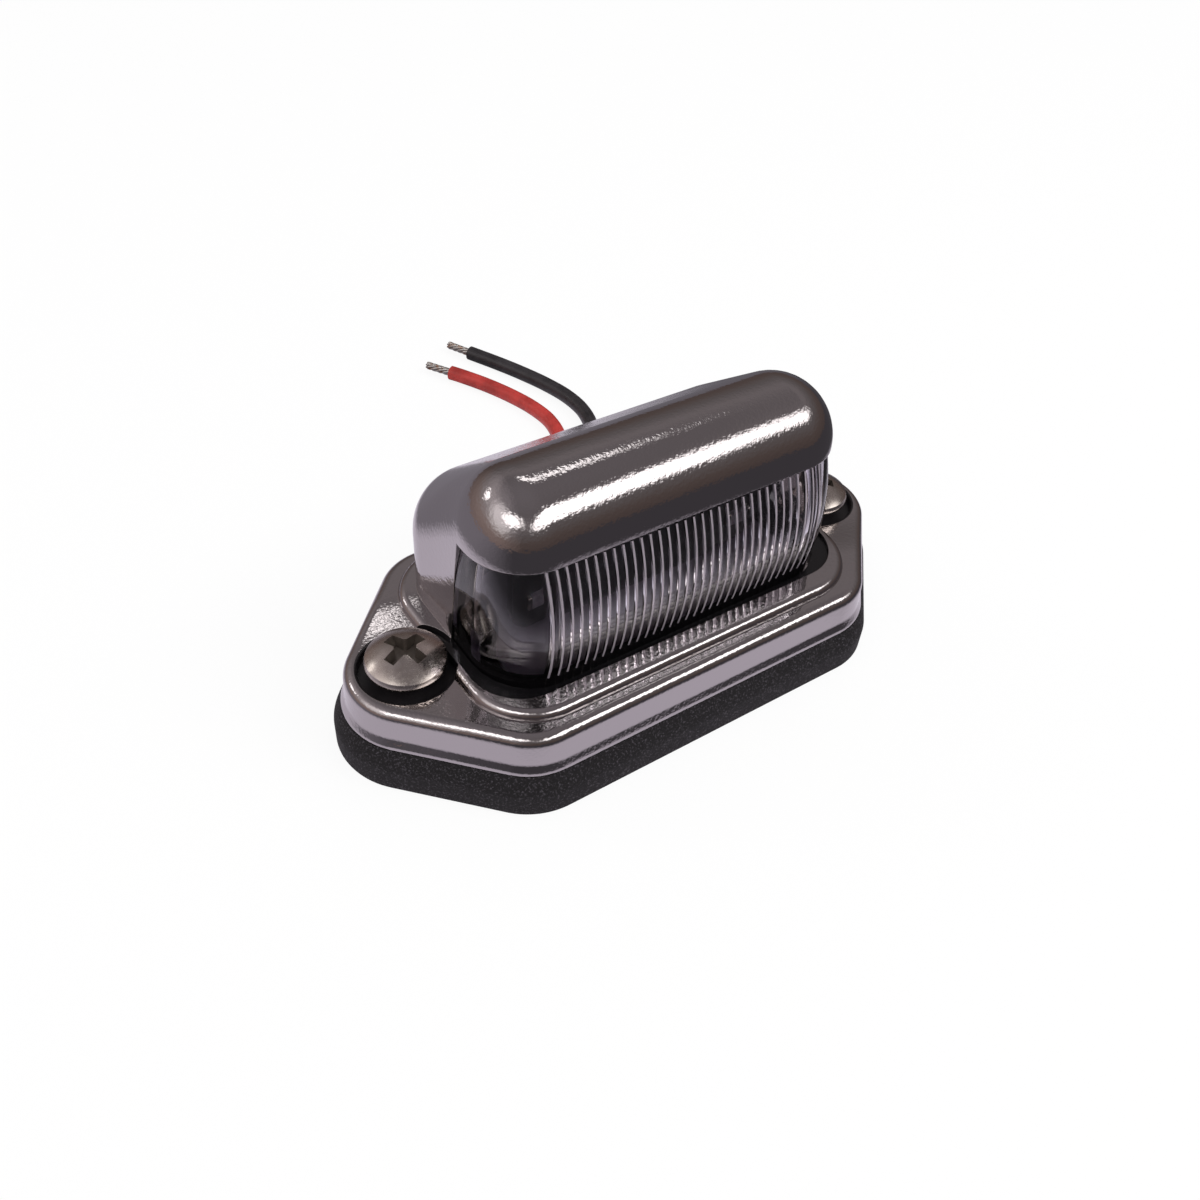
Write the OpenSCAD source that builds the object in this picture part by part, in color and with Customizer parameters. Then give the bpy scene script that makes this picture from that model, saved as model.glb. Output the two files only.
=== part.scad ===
// Number plate lamp for a car or trailer. A chromed housing carries a hooded, ribbed lens on a foam gasket.
// Sizes are in millimetres. The lens faces -Y and +Z is up.
// The origin is the middle of the gasket's underside, which lies on the surface.

/* [Housing base] */
// Length of the housing from tip to tip
body_len = 65; // [62:0.5:72]
// Width of the housing across its two long sides
body_wid = 31; // [30:0.5:35]
// Distance from the middle to the centre of each side corner, along the length
side_half = 17.5; // [16:0.5:19]
// Radius of the four side corners, seen from above
corner_r = 7; // [5:0.5:8]
// Radius of the two tips that hold the screws, seen from above
tip_r = 7.3; // [6.5:0.1:8]
// Height of the base from the gasket to its top face
base_h = 4.6; // [4.2:0.1:6]
// Thickness of the base's top plate
plate_t = 1.8; // [1.4:0.1:2]
// Thickness of the base's skirt
skirt_wall = 1.5; // [1.2:0.1:2]
// Height of the thin lip round the foot of the skirt
foot_lip_h = 0.6; // [0.4:0.1:1]
// How far the foot lip stands out from the skirt
foot_lip_out = 0.4; // [0.3:0.1:1]
// How much further in the skirt starts above that lip
skirt_draw = 0.1; // [0:0.05:0.3]
// Radius of the shoulder between skirt and top face
shoulder_r = 1.2; // [0.8:0.1:1.5]

/* [Bead round the lens] */
// Half the length of the raised bead
bead_half = 22.9; // [22.6:0.1:23.6]
// Distance from the middle to the front of the bead
bead_front = 13.1; // [12.8:0.1:13.3]
// Distance from the middle to the rear of the bead
bead_rear = 13.4; // [13.2:0.1:13.6]
// Radius of the bead's corners, seen from above
bead_r = 7.2; // [5:0.1:7.4]
// Height of the bead above the top face
bead_h = 0.9; // [0.6:0.1:1.2]
// Width of the bead's rounded edge
bead_edge = 0.9; // [0.6:0.1:1.1]

/* [Hood] */
// Half the length of the hood
hood_half = 20.9; // [20.5:0.1:21.3]
// Distance from the middle to the hood's front lip
hood_front = 8.7; // [8.5:0.1:9]
// Distance from the middle to the hood's rear wall
hood_rear = 12.3; // [12:0.1:12.5]
// Height of the open front below the lip, from the bead's top
window_h = 13.2; // [11:0.2:15]
// Radius of the crown above the lip
crown_r = 6.5; // [6.3:0.1:7]
// Radius of the hood's rear shoulder
rear_r = 7; // [6.4:0.1:8]
// Drop from the crown's centre to the rear shoulder's centre
rear_drop = 6.3; // [5:0.1:8]
// Radius of the hood's rounded ends
end_r = 6.1; // [5:0.1:6.2]
// Thickness of the hood's wall
hood_wall = 1.4; // [1.2:0.1:1.8]
// Distance from the middle to the end walls' front edge at its foot, towards the rear
edge_foot = 0.4; // [0:0.1:1]
// How far that edge leans forward at the lip
edge_lean = 1.7; // [0:0.1:2]

/* [Lens] */
// Half the length of the lens under the lip
lens_half = 20.3; // [20:0.1:20.4]
// Distance from the middle to the lens's front under the lip
lens_front = 8.4; // [8:0.1:8.5]
// Radius of the lens's corners, seen from above
lens_r = 5.6; // [5:0.1:6]
// How far the front bulges at its fullest
lens_bulge = 1.7; // [0.8:0.1:1.8]
// How far the ends bulge at their fullest
end_bulge = 0.6; // [0.3:0.1:1.2]
// Height of the fullest place, as a part of the window's height
bulge_at = 0.4; // [0.3:0.05:0.5]
// How far the middle of the front bows out, seen from above
lens_bow = 0.2; // [0.1:0.05:0.4]
// Thickness of the lens
lens_wall = 1.6; // [1.2:0.1:1.8]
// Number of upright ribs on the front
rib_n = 33; // [21:1:33]
// Distance between the ribs
rib_pitch = 1; // [0.8:0.05:1]
// Width of a rib at its root
rib_w = 0.4; // [0.2:0.05:0.6]
// Height of a rib
rib_h = 0.2; // [0.1:0.05:0.4]
// Width of the tongue that the lens has behind each end wall
tongue_w = 1.5; // [1:0.1:2]
// Diameter of the two locating posts inside the lens's corners
post_d = 2; // [1.6:0.1:2.4]
// Height of those posts
post_h = 5.4; // [4:0.2:7]

/* [Lens seat and seal] */
// Half the length of the pocket that the lens stands in
pocket_half = 21.9; // [21.8:0.1:22.1]
// Distance from the middle to the front of the pocket
pocket_front = 10.6; // [10.5:0.1:11]
// Radius of the pocket's front corners
pocket_r = 5.4; // [5:0.1:6]
// Depth of the pocket below the bead's top
pocket_depth = 1.5; // [1.3:0.1:1.7]
// Distance from the bead's top down to the top of the seal
seal_drop = 0.4; // [0.2:0.1:0.7]

/* [Circuit board] */
// Length of the circuit board
board_len = 31; // [26:0.5:33]
// Height of the board's wide part
board_h = 13.5; // [12:0.5:14]
// Thickness of the board
board_t = 1.2; // [0.8:0.1:1.6]
// Distance from the middle to the board's front face, towards the front
board_front = 1.6; // [1:0.1:2.5]
// Radius of the board's corners
board_r = 2.6; // [1:0.2:3]
// Gap between the potting and the board's wide part
board_lift = 0.7; // [0.4:0.1:1.5]
// Length of the foot that stands in the potting
board_foot_len = 20; // [12:1:24]
// Depth of that foot in the potting
board_foot_deep = 1.2; // [0.8:0.1:1.4]
// Number of light-emitting diodes
led_n = 6; // [6:1:6]
// Distance between the diodes
led_pitch = 4.6; // [4:0.1:4.8]
// Width, height and thickness of a diode
led_size = [2.8, 3.5, 0.8];
// Width, height and thickness of a chip resistor
resistor_size = [3.2, 1.6, 0.6];
// Width, height and thickness of the polarity diode
diode_size = [4.3, 2.6, 2.1];

/* [Potting] */
// Half the length of the opening in the plate under the lens
well_half = 17.4; // [16.5:0.1:17.5]
// Distance from the middle to the front of that opening
well_front = 7; // [6.5:0.1:7.2]
// Distance from the middle to the rear of that opening
well_rear = 9; // [8:0.5:9.5]
// Radius of the opening's corners
well_r = 2.5; // [2:0.5:4]
// How far the potting stays inside the housing's underside
potting_inset = 1.6; // [1:0.1:1.8]
// How far the potting stands above the pocket's floor
potting_rise = 0.4; // [0.2:0.1:0.6]

/* [Gasket] */
// Thickness of the foam gasket
gasket_t = 4.6; // [3:0.1:6]
// How far the gasket stands out past the housing
gasket_out = 0.9; // [0.5:0.1:2]
// Height of the gasket's rounded top edge, which runs in to the housing's foot
gasket_bevel = 2.2; // [1:0.1:2.5]
// Half the length of the gasket's middle opening
gasket_open_half = 17; // [14:0.5:17.5]
// Half the width of that opening
gasket_open_side = 9; // [8:0.5:9.5]
// Width of the grooves that the leads pass through
groove_w = 2.4; // [2.2:0.1:3]

/* [Screws] */
// Distance from the middle to each screw
screw_x = 26; // [25.5:0.1:26.5]
// Diameter of the screw head
head_d = 8; // [7:0.1:8.4]
// Height of the screw head
head_h = 2.1; // [2:0.1:3]
// Height of the upright rim of the head
head_rim = 0.7; // [0.4:0.1:0.8]
// Diameter of the thread
thread_d = 4.2; // [3.5:0.1:4.4]
// Length of the screw below its head
thread_len = 9.6; // [8:0.1:9.8]
// How far the head stands above the recess's floor
head_lift = 1.6; // [0.3:0.1:1.6]
// Span of the cross recess
cross_span = 5; // [3.6:0.1:5.2]
// Width of the cross recess's arms
cross_w = 1.3; // [0.8:0.1:1.4]
// Depth of the cross recess
cross_deep = 1.5; // [1:0.1:1.6]
// Diameter of the recess round the screw head
recess_d = 9.4; // [9:0.1:9.8]
// Depth of that recess below the top face
recess_deep = 1; // [0.6:0.1:1.2]
// Diameter of the screw hole through the housing
screw_hole_d = 4.8; // [4.6:0.1:5]
// Diameter of the boss round the screw hole
boss_d = 8.4; // [7.5:0.1:9]
// Diameter of the screw hole through the gasket
gasket_hole_d = 5.4; // [5:0.1:6]

/* [Leads] */
// Diameter of each lead over its insulation
lead_d = 2; // [1.6:0.1:2]
// Diameter of the tinned end
tip_d = 1.1; // [0.8:0.1:1.3]

/* [Fit] */
// Clearance between parts that slide into each other
fit_gap = 0.1; // [0.05:0.05:0.2]

/* [Hidden] */

// Heights, from the surface up
base_z = gasket_t;
top_z = base_z + base_h;
plate_z = top_z - plate_t;
bead_z = top_z + bead_h;
pocket_z = bead_z - pocket_depth;
lip_z = bead_z + window_h;
recess_z = top_z - recess_deep;
potting_z = base_z + potting_inset;
fill_z = pocket_z + potting_rise;
board_z = fill_z + board_lift;

// Small overlap that keeps cuts clean
eps = 0.2;
// Points on each rounded corner, and steps of each rounded edge
corner_steps = 6;
edge_steps = 4;
// Smoothness of round holes and heads
round_fn = 64;

// The base's outline as six corner circles, each with its centre and radius
tip_x = body_len / 2 - tip_r;
side_y = body_wid / 2 - corner_r;
CORNERS = [
    [tip_x, 0, tip_r],
    [side_half, side_y, corner_r],
    [-side_half, side_y, corner_r],
    [-tip_x, 0, tip_r],
    [-side_half, -side_y, corner_r],
    [side_half, -side_y, corner_r]
];

// The hood's section as two circles in the upright plane, each with its centre and radius
CROWN = [crown_r - hood_front, lip_z, crown_r];
SHOULDER = [hood_rear - rear_r, lip_z - rear_drop, rear_r];

// Direction in which a line that touches two circles faces
function facing(a, b) =
    let (dx = b[0] - a[0], dy = b[1] - a[1])
    atan2(dy, dx) - 90 + asin((a[2] - b[2]) / norm([dx, dy]));

function turned_on(angle, from) = angle < from ? angle + 360 : angle;

function arc(x, y, r, a0, a1, steps) =
    [for (k = [0:steps]) let (a = a0 + (a1 - a0) * k / steps) [x + r * cos(a), y + r * sin(a)]];

// The base's outline, moved inwards by d
function base_outline(d) = [
    for (i = [0:5])
        let (
            before = CORNERS[(i + 5) % 6],
            here = CORNERS[i],
            after = CORNERS[(i + 1) % 6],
            a0 = facing(before, here),
            a1 = turned_on(facing(here, after), a0)
        )
        each arc(here[0], here[1], here[2] - d, a0, a1, corner_steps)
];

// A rounded rectangle from y0 to y1, moved inwards by d
function round_box(half, y0, y1, r, d = 0) = [
    each arc(half - r, y1 - r, r - d, 0, 90, corner_steps),
    each arc(r - half, y1 - r, r - d, 90, 180, corner_steps),
    each arc(r - half, y0 + r, r - d, 180, 270, corner_steps),
    each arc(half - r, y0 + r, r - d, 270, 360, corner_steps)
];

function at_height(outline, z) = [for (p = outline) [p[0], p[1], z]];

// A closed body through rings of equal length, each turning anticlockwise as seen from the last ring.
// Rings that aren't convex bring their own cap, a list of triangles of a ring's point numbers.
module skin(rings, cap = []) {
    n = len(rings[0]);
    last = len(rings) - 1;
    foot = len(cap) > 0 ? cap : [[for (i = [0:n - 1]) i]];
    polyhedron(
        points = [for (ring = rings) each ring],
        faces = [
            each foot,
            for (k = [0:last - 1])
                for (i = [0:n - 1])
                    let (j = (i + 1) % n)
                    each [
                        [k * n + i, (k + 1) * n + i, (k + 1) * n + j],
                        [k * n + i, (k + 1) * n + j, k * n + j]
                    ],
            for (face = foot) [for (i = [len(face) - 1:-1:0]) last * n + face[i]]
        ],
        convexity = 6
    );
}

// An upright profile in Y and Z, extruded along X
module along_x(half, profile) {
    rotate([90, 0, 90])
        translate([0, 0, -half])
            linear_extrude(2 * half)
                polygon(profile);
}

// The base: foot lip, slightly drawn-in skirt and rounded shoulder
skirt_in = foot_lip_out + skirt_draw;
module base_form() {
    skin([
        at_height(base_outline(0), base_z),
        at_height(base_outline(0), base_z + foot_lip_h),
        at_height(base_outline(foot_lip_out / 2), base_z + foot_lip_h * 1.4),
        at_height(base_outline(foot_lip_out), base_z + foot_lip_h * 1.6),
        for (k = [0:edge_steps])
            let (a = 90 * k / edge_steps)
            at_height(
                base_outline(skirt_in + shoulder_r * (1 - cos(a))),
                top_z - shoulder_r * (1 - sin(a))
            )
    ]);
}

// The raised bead, rounded on its outer edge
module bead_form() {
    skin([
        at_height(round_box(bead_half, -bead_front, bead_rear, bead_r), top_z - eps),
        for (k = [0:edge_steps])
            let (a = 90 * k / edge_steps)
            at_height(
                round_box(bead_half, -bead_front, bead_rear, bead_r, bead_edge * (1 - cos(a))),
                bead_z - bead_h * (1 - sin(a))
            )
    ]);
}

// The hood's section, moved inwards by d, from the given foot height
hood_turn = facing(SHOULDER, CROWN);
function hood_section(d, foot_z) = [
    [SHOULDER[0] + SHOULDER[2] - d, foot_z],
    each arc(SHOULDER[0], SHOULDER[1], SHOULDER[2] - d, 0, hood_turn, edge_steps),
    each arc(CROWN[0], CROWN[1], CROWN[2] - d, hood_turn, 180, 2 * edge_steps),
    [CROWN[0] - CROWN[2] + d, foot_z]
];

// The barrel-shaped hood with rounded ends, moved inwards by inset
module hood_form(inset, foot_z) {
    round_r = end_r - inset;
    straight = hood_half - end_r;
    skin([
        for (side = [-1, 1])
            for (k = [0:edge_steps])
                let (
                    a = side < 0 ? 90 * (1 - k / edge_steps) : 90 * k / edge_steps,
                    x = side * (straight + round_r * sin(a)),
                    d = inset + round_r * (1 - cos(a))
                )
                [for (p = hood_section(d, foot_z)) [x, p[0], p[1]]]
    ]);
}

// Place of the end walls' front edge at a height
function edge_y(z) = edge_foot - edge_lean * (max(z, bead_z) - bead_z) / window_h;

// Everything in front of the end walls and below the lip
module window_cut() {
    along_x(body_len / 2, [
        [edge_foot, bead_z],
        [edge_y(lip_z), lip_z],
        [-body_wid, lip_z],
        [-body_wid, bead_z]
    ]);
}

// Outline of the pocket that the lens and its seal stand in
function pocket_outline() = [
    [-pocket_half, edge_foot],
    each arc(pocket_r - pocket_half, pocket_r - pocket_front, pocket_r, 180, 270, corner_steps),
    each arc(pocket_half - pocket_r, pocket_r - pocket_front, pocket_r, 270, 360, corner_steps),
    [pocket_half, edge_foot]
];

module well(z0, z1) {
    translate([0, 0, z0])
        linear_extrude(z1 - z0)
            polygon(round_box(well_half, -well_front, well_rear, well_r));
}

module at_screws() {
    for (side = [-1, 1])
        translate([side * screw_x, 0, 0])
            children();
}

// One moulding: base, bead and hood in one piece, chromed
module housing() {
    color([0.62, 0.60, 0.62])
    difference() {
        union() {
            difference() {
                union() {
                    base_form();
                    bead_form();
                    hood_form(0, plate_z + eps);
                }
                translate([0, 0, base_z - eps])
                    linear_extrude(plate_z - base_z + eps)
                        polygon(base_outline(skirt_in + skirt_wall));
                hood_form(hood_wall, pocket_z);
                window_cut();
                translate([0, 0, pocket_z])
                    linear_extrude(pocket_depth + eps)
                        polygon(pocket_outline());
                well(plate_z - eps, pocket_z + eps);
            }
            at_screws()
                translate([0, 0, base_z])
                    cylinder(d = boss_d, h = plate_z - base_z + eps, $fn = round_fn);
        }
        at_screws() {
            translate([0, 0, recess_z])
                cylinder(d = recess_d, h = bead_z - recess_z + eps, $fn = round_fn);
            translate([0, 0, base_z - eps])
                cylinder(d = screw_hole_d, h = base_h, $fn = round_fn);
        }
    }
}

// The part of its bulge that the lens has at a height
lens_top = lip_z - fit_gap;
bulge_z = bead_z + bulge_at * window_h;
function fullness(z) = 1 - pow((max(z, bead_z) - bulge_z) / (lip_z - bulge_z), 2);

rib_reach = (rib_n - 1) / 2 * rib_pitch + rib_w / 2;
lens_cx = lens_half - lens_r;
lens_cy = lens_r - lens_front;

// Half axes of the lens's oval corners at a height, along X and along Y, moved inwards by d
function corner_axes(z, d) =
    [lens_r + end_bulge * fullness(z) - d, lens_r + lens_bulge * fullness(z) - d];

// Place of the lens's front at x, for a corner's half axes
function lens_face(x, axes) =
    let (past = max(0, abs(x) - lens_cx) / axes[0])
    lens_cy - axes[1] * sqrt(1 - past * past) - lens_bow * (1 - pow(x / rib_reach, 2));

// Angle of a corner from its end to where the ribs begin
function lens_turn(axes) = acos((rib_reach - lens_cx) / axes[0]);

// An oval corner on one side, between two angles
function oval(side, y, axes, a0, a1) = [
    for (p = arc(0, 0, 1, a0, a1, corner_steps)) [side * lens_cx + axes[0] * p[0], y + axes[1] * p[1]]
];

function rib_x(i) = (i - (rib_n - 1) / 2) * rib_pitch;

// The lens's outside at a height, from the left tongue round the front to the right tongue
function lens_outside(z) =
    let (
        r = corner_axes(z, 0),
        turn = lens_turn(r),
        ye = edge_y(z) - fit_gap,
        xt = hood_half - hood_wall - 3 * fit_gap,
        left = oval(-1, lens_cy, r, 180, 180 + turn),
        right = oval(1, lens_cy, r, 360 - turn, 360)
    )
    [
        [-xt, edge_y(z) + tongue_w],
        [-xt, ye],
        [-lens_cx - r[0], ye],
        for (k = [0:corner_steps - 1]) left[k],
        for (i = [0:rib_n - 1])
            each [
                [rib_x(i) - rib_w / 2, lens_face(rib_x(i) - rib_w / 2, r)],
                [rib_x(i), lens_face(rib_x(i), r) - rib_h],
                [rib_x(i) + rib_w / 2, lens_face(rib_x(i) + rib_w / 2, r)]
            ],
        for (k = [1:corner_steps]) right[k],
        [lens_cx + r[0], ye],
        [xt, ye],
        [xt, edge_y(z) + tongue_w]
    ];

// The lens's inside at a height, from left to right, with one point behind each rib
function lens_inside(z) =
    let (
        r = corner_axes(z, lens_wall),
        turn = lens_turn(r),
        xs = hood_half - hood_wall - 3 * fit_gap - tongue_w,
        left = oval(-1, lens_cy, r, 180, 180 + turn),
        right = oval(1, lens_cy, r, 360 - turn, 360)
    )
    [
        [-xs, edge_y(z) + tongue_w],
        for (k = [0:corner_steps - 1]) left[k],
        for (i = [0:rib_n - 1]) [rib_x(i), lens_face(rib_x(i), r)],
        for (k = [1:corner_steps]) right[k],
        [xs, edge_y(z) + tongue_w]
    ];

function reversed(list) = [for (i = [len(list) - 1:-1:0]) list[i]];

function lens_ring(z) = at_height(concat(lens_outside(z), reversed(lens_inside(z))), z);

// For each outside point, the inside point that it faces
inside_n = 2 * corner_steps + rib_n + 2;
LENS_PARTNER = [
    0, 1, 1,
    for (k = [1:corner_steps]) k,
    for (i = [1:rib_n]) each [corner_steps + i, corner_steps + i, corner_steps + i],
    for (k = [1:corner_steps]) corner_steps + rib_n + k,
    inside_n - 2, inside_n - 1, inside_n - 1
];

// Triangles that close the strip between the lens's outside and inside
LENS_CAP = let (m = len(LENS_PARTNER), end = m + inside_n - 1) [
    for (i = [0:m - 2])
        let (a = LENS_PARTNER[i], b = LENS_PARTNER[i + 1])
        each [
            [i, i + 1, end - a],
            if (b > a) [i + 1, end - b, end - a]
        ]
];

lens_rings = 7;
module lens() {
    color([0.85, 0.83, 0.88, 0.5])
    union() {
        skin([
            lens_ring(pocket_z),
            for (k = [0:lens_rings]) lens_ring(bead_z + (lens_top - bead_z) * k / lens_rings)
        ], LENS_CAP);
        for (side = [-1, 1])
            translate([side * (lens_half - lens_wall), lens_cy, pocket_z])
                cylinder(d = post_d, h = post_h, $fn = 24);
    }
}

// Ring of sealant between the lens's foot and the pocket's wall
module lens_seal() {
    foot = corner_axes(bead_z, -fit_gap);
    foot_y = lens_cy - lens_bow - rib_h;
    color([0.05, 0.05, 0.05])
    translate([0, 0, pocket_z])
        linear_extrude(pocket_depth - seal_drop)
            polygon([
                each reversed(pocket_outline()),
                [-lens_cx - foot[0], edge_foot],
                each oval(-1, foot_y, foot, 180, 270),
                each oval(1, foot_y, foot, 270, 360),
                [lens_cx + foot[0], edge_foot]
            ]);
}

// An upright plate in X and Z whose front face lies at y
module upright(y, thick) {
    translate([0, y + thick, 0])
        rotate([90, 0, 0])
            linear_extrude(thick)
                children();
}

module board_shape() {
    polygon([for (p = round_box(board_len / 2, board_z, board_z + board_h, board_r)) p]);
    translate([-board_foot_len / 2, fill_z - board_foot_deep])
        square([board_foot_len, board_lift + board_foot_deep + board_r]);
}

// The board stands upright behind the lens, with its foot cast into the potting
module circuit_board() {
    color([0.06, 0.08, 0.07])
    upright(-board_front, board_t)
        board_shape();
}

// A box centred on x and z whose back lies at y, on the board's front
module on_front(x, z, size) {
    translate([x - size[0] / 2, -board_front - size[2], z - size[1] / 2])
        cube([size[0], size[2], size[1]]);
}

led_z = board_z + board_h * 0.68;
chip_z = board_z + board_h * 0.26;
module led(i) {
    color([0.95, 0.9, 0.6])
    difference() {
        on_front((i - (led_n + 1) / 2) * led_pitch, led_z, led_size);
        translate([(i - (led_n + 1) / 2) * led_pitch, -board_front - led_size[2], led_z])
            rotate([90, 0, 0])
                translate([0, 0, -0.3])
                    cylinder(d = led_size[0] - 0.6, h = 1, $fn = 32);
    }
}

module resistor(side) {
    color([0.12, 0.12, 0.12])
    on_front(side * (board_len / 2 - resistor_size[0]), chip_z, resistor_size);
}

// The polarity diode sits on the board's rear
module polarity_diode() {
    color([0.1, 0.1, 0.1])
    translate([-diode_size[0] / 2, board_t - board_front, chip_z - diode_size[1] / 2])
        cube([diode_size[0], diode_size[2], diode_size[1]]);
}

// Resin that fills the base round the board's foot and holds the leads
module potting() {
    color([0.42, 0.40, 0.44])
    difference() {
        union() {
            translate([0, 0, potting_z])
                linear_extrude(plate_z - potting_z)
                    polygon(base_outline(skirt_in + skirt_wall));
            well(plate_z - eps, fill_z);
        }
        at_screws()
            translate([0, 0, potting_z - eps])
                cylinder(d = boss_d, h = plate_z - potting_z + 2 * eps, $fn = round_fn);
        upright(-board_front, board_t)
            translate([-board_foot_len / 2, fill_z - board_foot_deep])
                square([board_foot_len, board_foot_deep + eps]);
    }
}

// Route of each lead from the potting's underside to its free end
RED = [
    [5, 2, 6.2], [5, 2, 5.4], [5, 2.4, 3.8], [5, 3.5, 2.3], [5, 5, 1.3], [5, 7, 1], [5, 10, 1],
    [5, 14, 1], [5.1, 18, 1], [6.4, 22, 1], [8.6, 26, 1], [11.4, 30, 1], [13.6, 34, 1],
    [14.6, 38, 1], [14.3, 42, 1], [13.2, 46, 1], [11.6, 50, 1], [9.8, 53.5, 1], [8.8, 55.2, 1]
];
BLACK = [
    [9, 2, 6.2], [9, 2, 5.4], [9, 2.4, 3.8], [9, 3.5, 2.3], [9, 5, 1.3], [9, 7, 1], [9, 10, 1],
    [9, 14, 1], [9.1, 18, 1], [11, 22, 1], [13.8, 26, 1], [16.6, 30, 1], [18.8, 34, 1],
    [20, 38, 1], [20, 42, 1], [19.1, 46, 1], [17.7, 50, 1], [16, 54, 1], [13.8, 58.6, 1]
];
// Route of the tinned end beyond each lead
RED_TIP = [[8.8, 55.2, 1], [6.8, 58.6, 1]];
BLACK_TIP = [[13.8, 58.6, 1], [12.15, 62.05, 1]];

lead_sides = 8;

// Direction of the route at point k
function heading(route, k) =
    let (v = route[min(k + 1, len(route) - 1)] - route[max(k - 1, 0)])
    unit(v);
function unit(v) = v / norm(v);

// A ring of the tube round point k, square to the route
function tube_ring(route, k, d) =
    let (
        t = heading(route, k),
        up = unit(cross([1, 0, 0], t)),
        side = cross(t, up)
    )
    [for (i = [0:lead_sides - 1])
        let (a = 360 * (i + 0.5) / lead_sides)
        route[k] + d / 2 * (side * cos(a) + up * sin(a))];

module tube(route, d) {
    skin([for (k = [0:len(route) - 1]) tube_ring(route, k, d)]);
}

module lead_red() {
    color([0.7, 0.18, 0.16])
    tube(RED, lead_d);
}

module lead_black() {
    color([0.13, 0.12, 0.13])
    tube(BLACK, lead_d);
}

module lead_red_tip() {
    color([0.75, 0.75, 0.74])
    tube(RED_TIP, tip_d);
}

module lead_black_tip() {
    color([0.75, 0.75, 0.74])
    tube(BLACK_TIP, tip_d);
}

// Foam pad with a middle opening, two screw holes and two grooves for the leads
module gasket() {
    color([0.11, 0.10, 0.11])
    difference() {
        skin([
            at_height(base_outline(-gasket_out), 0),
            at_height(base_outline(-gasket_out), gasket_t - gasket_bevel),
            at_height(base_outline(-gasket_out / 2), gasket_t - gasket_bevel / 3),
            at_height(base_outline(0), gasket_t)
        ]);
        translate([0, 0, -eps])
            linear_extrude(gasket_t + 2 * eps)
                polygon(round_box(gasket_open_half, -gasket_open_side, gasket_open_side, 4));
        at_screws()
            translate([0, 0, -eps])
                cylinder(d = gasket_hole_d, h = gasket_t + 2 * eps, $fn = round_fn);
        for (route = [RED, BLACK])
            translate([route[0][0] - groove_w / 2, 0, -eps])
                cube([groove_w, body_wid, groove_w + eps]);
    }
}

// Pan-head screw with a pointed thread and a cross recess, turned round its own axis
head_z = recess_z + head_lift;
dome_h = head_h - head_rim;
dome_r = (head_d * head_d / 4 + dome_h * dome_h) / (2 * dome_h);
module screw() {
    dome_turn = asin(head_d / 2 / dome_r);
    tip_h = thread_d * 0.6;
    color([0.6, 0.57, 0.55])
    translate([0, 0, head_z])
    difference() {
        rotate_extrude($fn = round_fn)
            polygon([
                [0, -thread_len],
                [thread_d / 2, tip_h - thread_len],
                [thread_d / 2, 0],
                [head_d / 2 - 0.2, 0],
                [head_d / 2, 0.2],
                [head_d / 2, head_rim],
                for (k = [1:8])
                    let (a = dome_turn * (1 - k / 8))
                    [dome_r * sin(a), head_h - dome_r * (1 - cos(a))]
            ]);
        translate([0, 0, head_h - cross_deep])
            linear_extrude(cross_deep + eps) {
                square([cross_span, cross_w], center = true);
                square([cross_w, cross_span], center = true);
                circle(d = cross_w * 2, $fn = 24);
            }
    }
}

module screw_left() {
    translate([-screw_x, 0, 0])
        rotate([0, 0, 20])
            screw();
}

module screw_right() {
    translate([screw_x, 0, 0])
        rotate([0, 0, -35])
            screw();
}

housing();
lens();
lens_seal();
circuit_board();
led(1);  // led_1
led(2);  // led_2
led(3);  // led_3
led(4);  // led_4
led(5);  // led_5
led(6);  // led_6
resistor(-1);  // resistor_1
resistor(1);  // resistor_2
polarity_diode();
potting();
gasket();
screw_left();
screw_right();
lead_red();
lead_black();
lead_red_tip();
lead_black_tip();
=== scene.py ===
"""Number plate lamp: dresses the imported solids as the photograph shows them.

The lamp lies on its foam gasket. A chromed housing with a barrel-shaped hood carries a clear, ribbed lens.
Lengths in the classes are in millimetres and in the CAD's own frame; MM turns them into metres.
"""

import logging
import math
from dataclasses import dataclass
from enum import Enum
from typing import Sequence

import bpy
import numpy as np
from mathutils import Matrix, Vector


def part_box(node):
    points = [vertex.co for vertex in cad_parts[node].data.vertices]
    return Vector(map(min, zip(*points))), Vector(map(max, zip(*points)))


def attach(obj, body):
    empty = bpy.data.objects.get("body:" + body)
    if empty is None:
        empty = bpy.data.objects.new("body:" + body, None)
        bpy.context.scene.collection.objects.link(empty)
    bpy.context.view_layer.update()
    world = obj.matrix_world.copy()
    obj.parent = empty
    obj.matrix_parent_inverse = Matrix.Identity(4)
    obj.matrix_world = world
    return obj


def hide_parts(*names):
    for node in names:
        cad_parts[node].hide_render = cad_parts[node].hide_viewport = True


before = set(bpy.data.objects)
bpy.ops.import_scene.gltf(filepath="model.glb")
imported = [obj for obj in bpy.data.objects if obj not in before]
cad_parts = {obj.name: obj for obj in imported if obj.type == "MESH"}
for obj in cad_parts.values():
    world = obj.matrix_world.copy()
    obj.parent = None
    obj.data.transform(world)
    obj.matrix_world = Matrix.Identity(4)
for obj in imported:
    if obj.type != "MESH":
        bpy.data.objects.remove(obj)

LOG = logging.getLogger("plate_lamp")
MM = 0.001
# How far a cutting body reaches past what it cuts, in millimetres
OVER = 0.2
Ring = np.ndarray
Socket = bpy.types.NodeSocket


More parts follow.
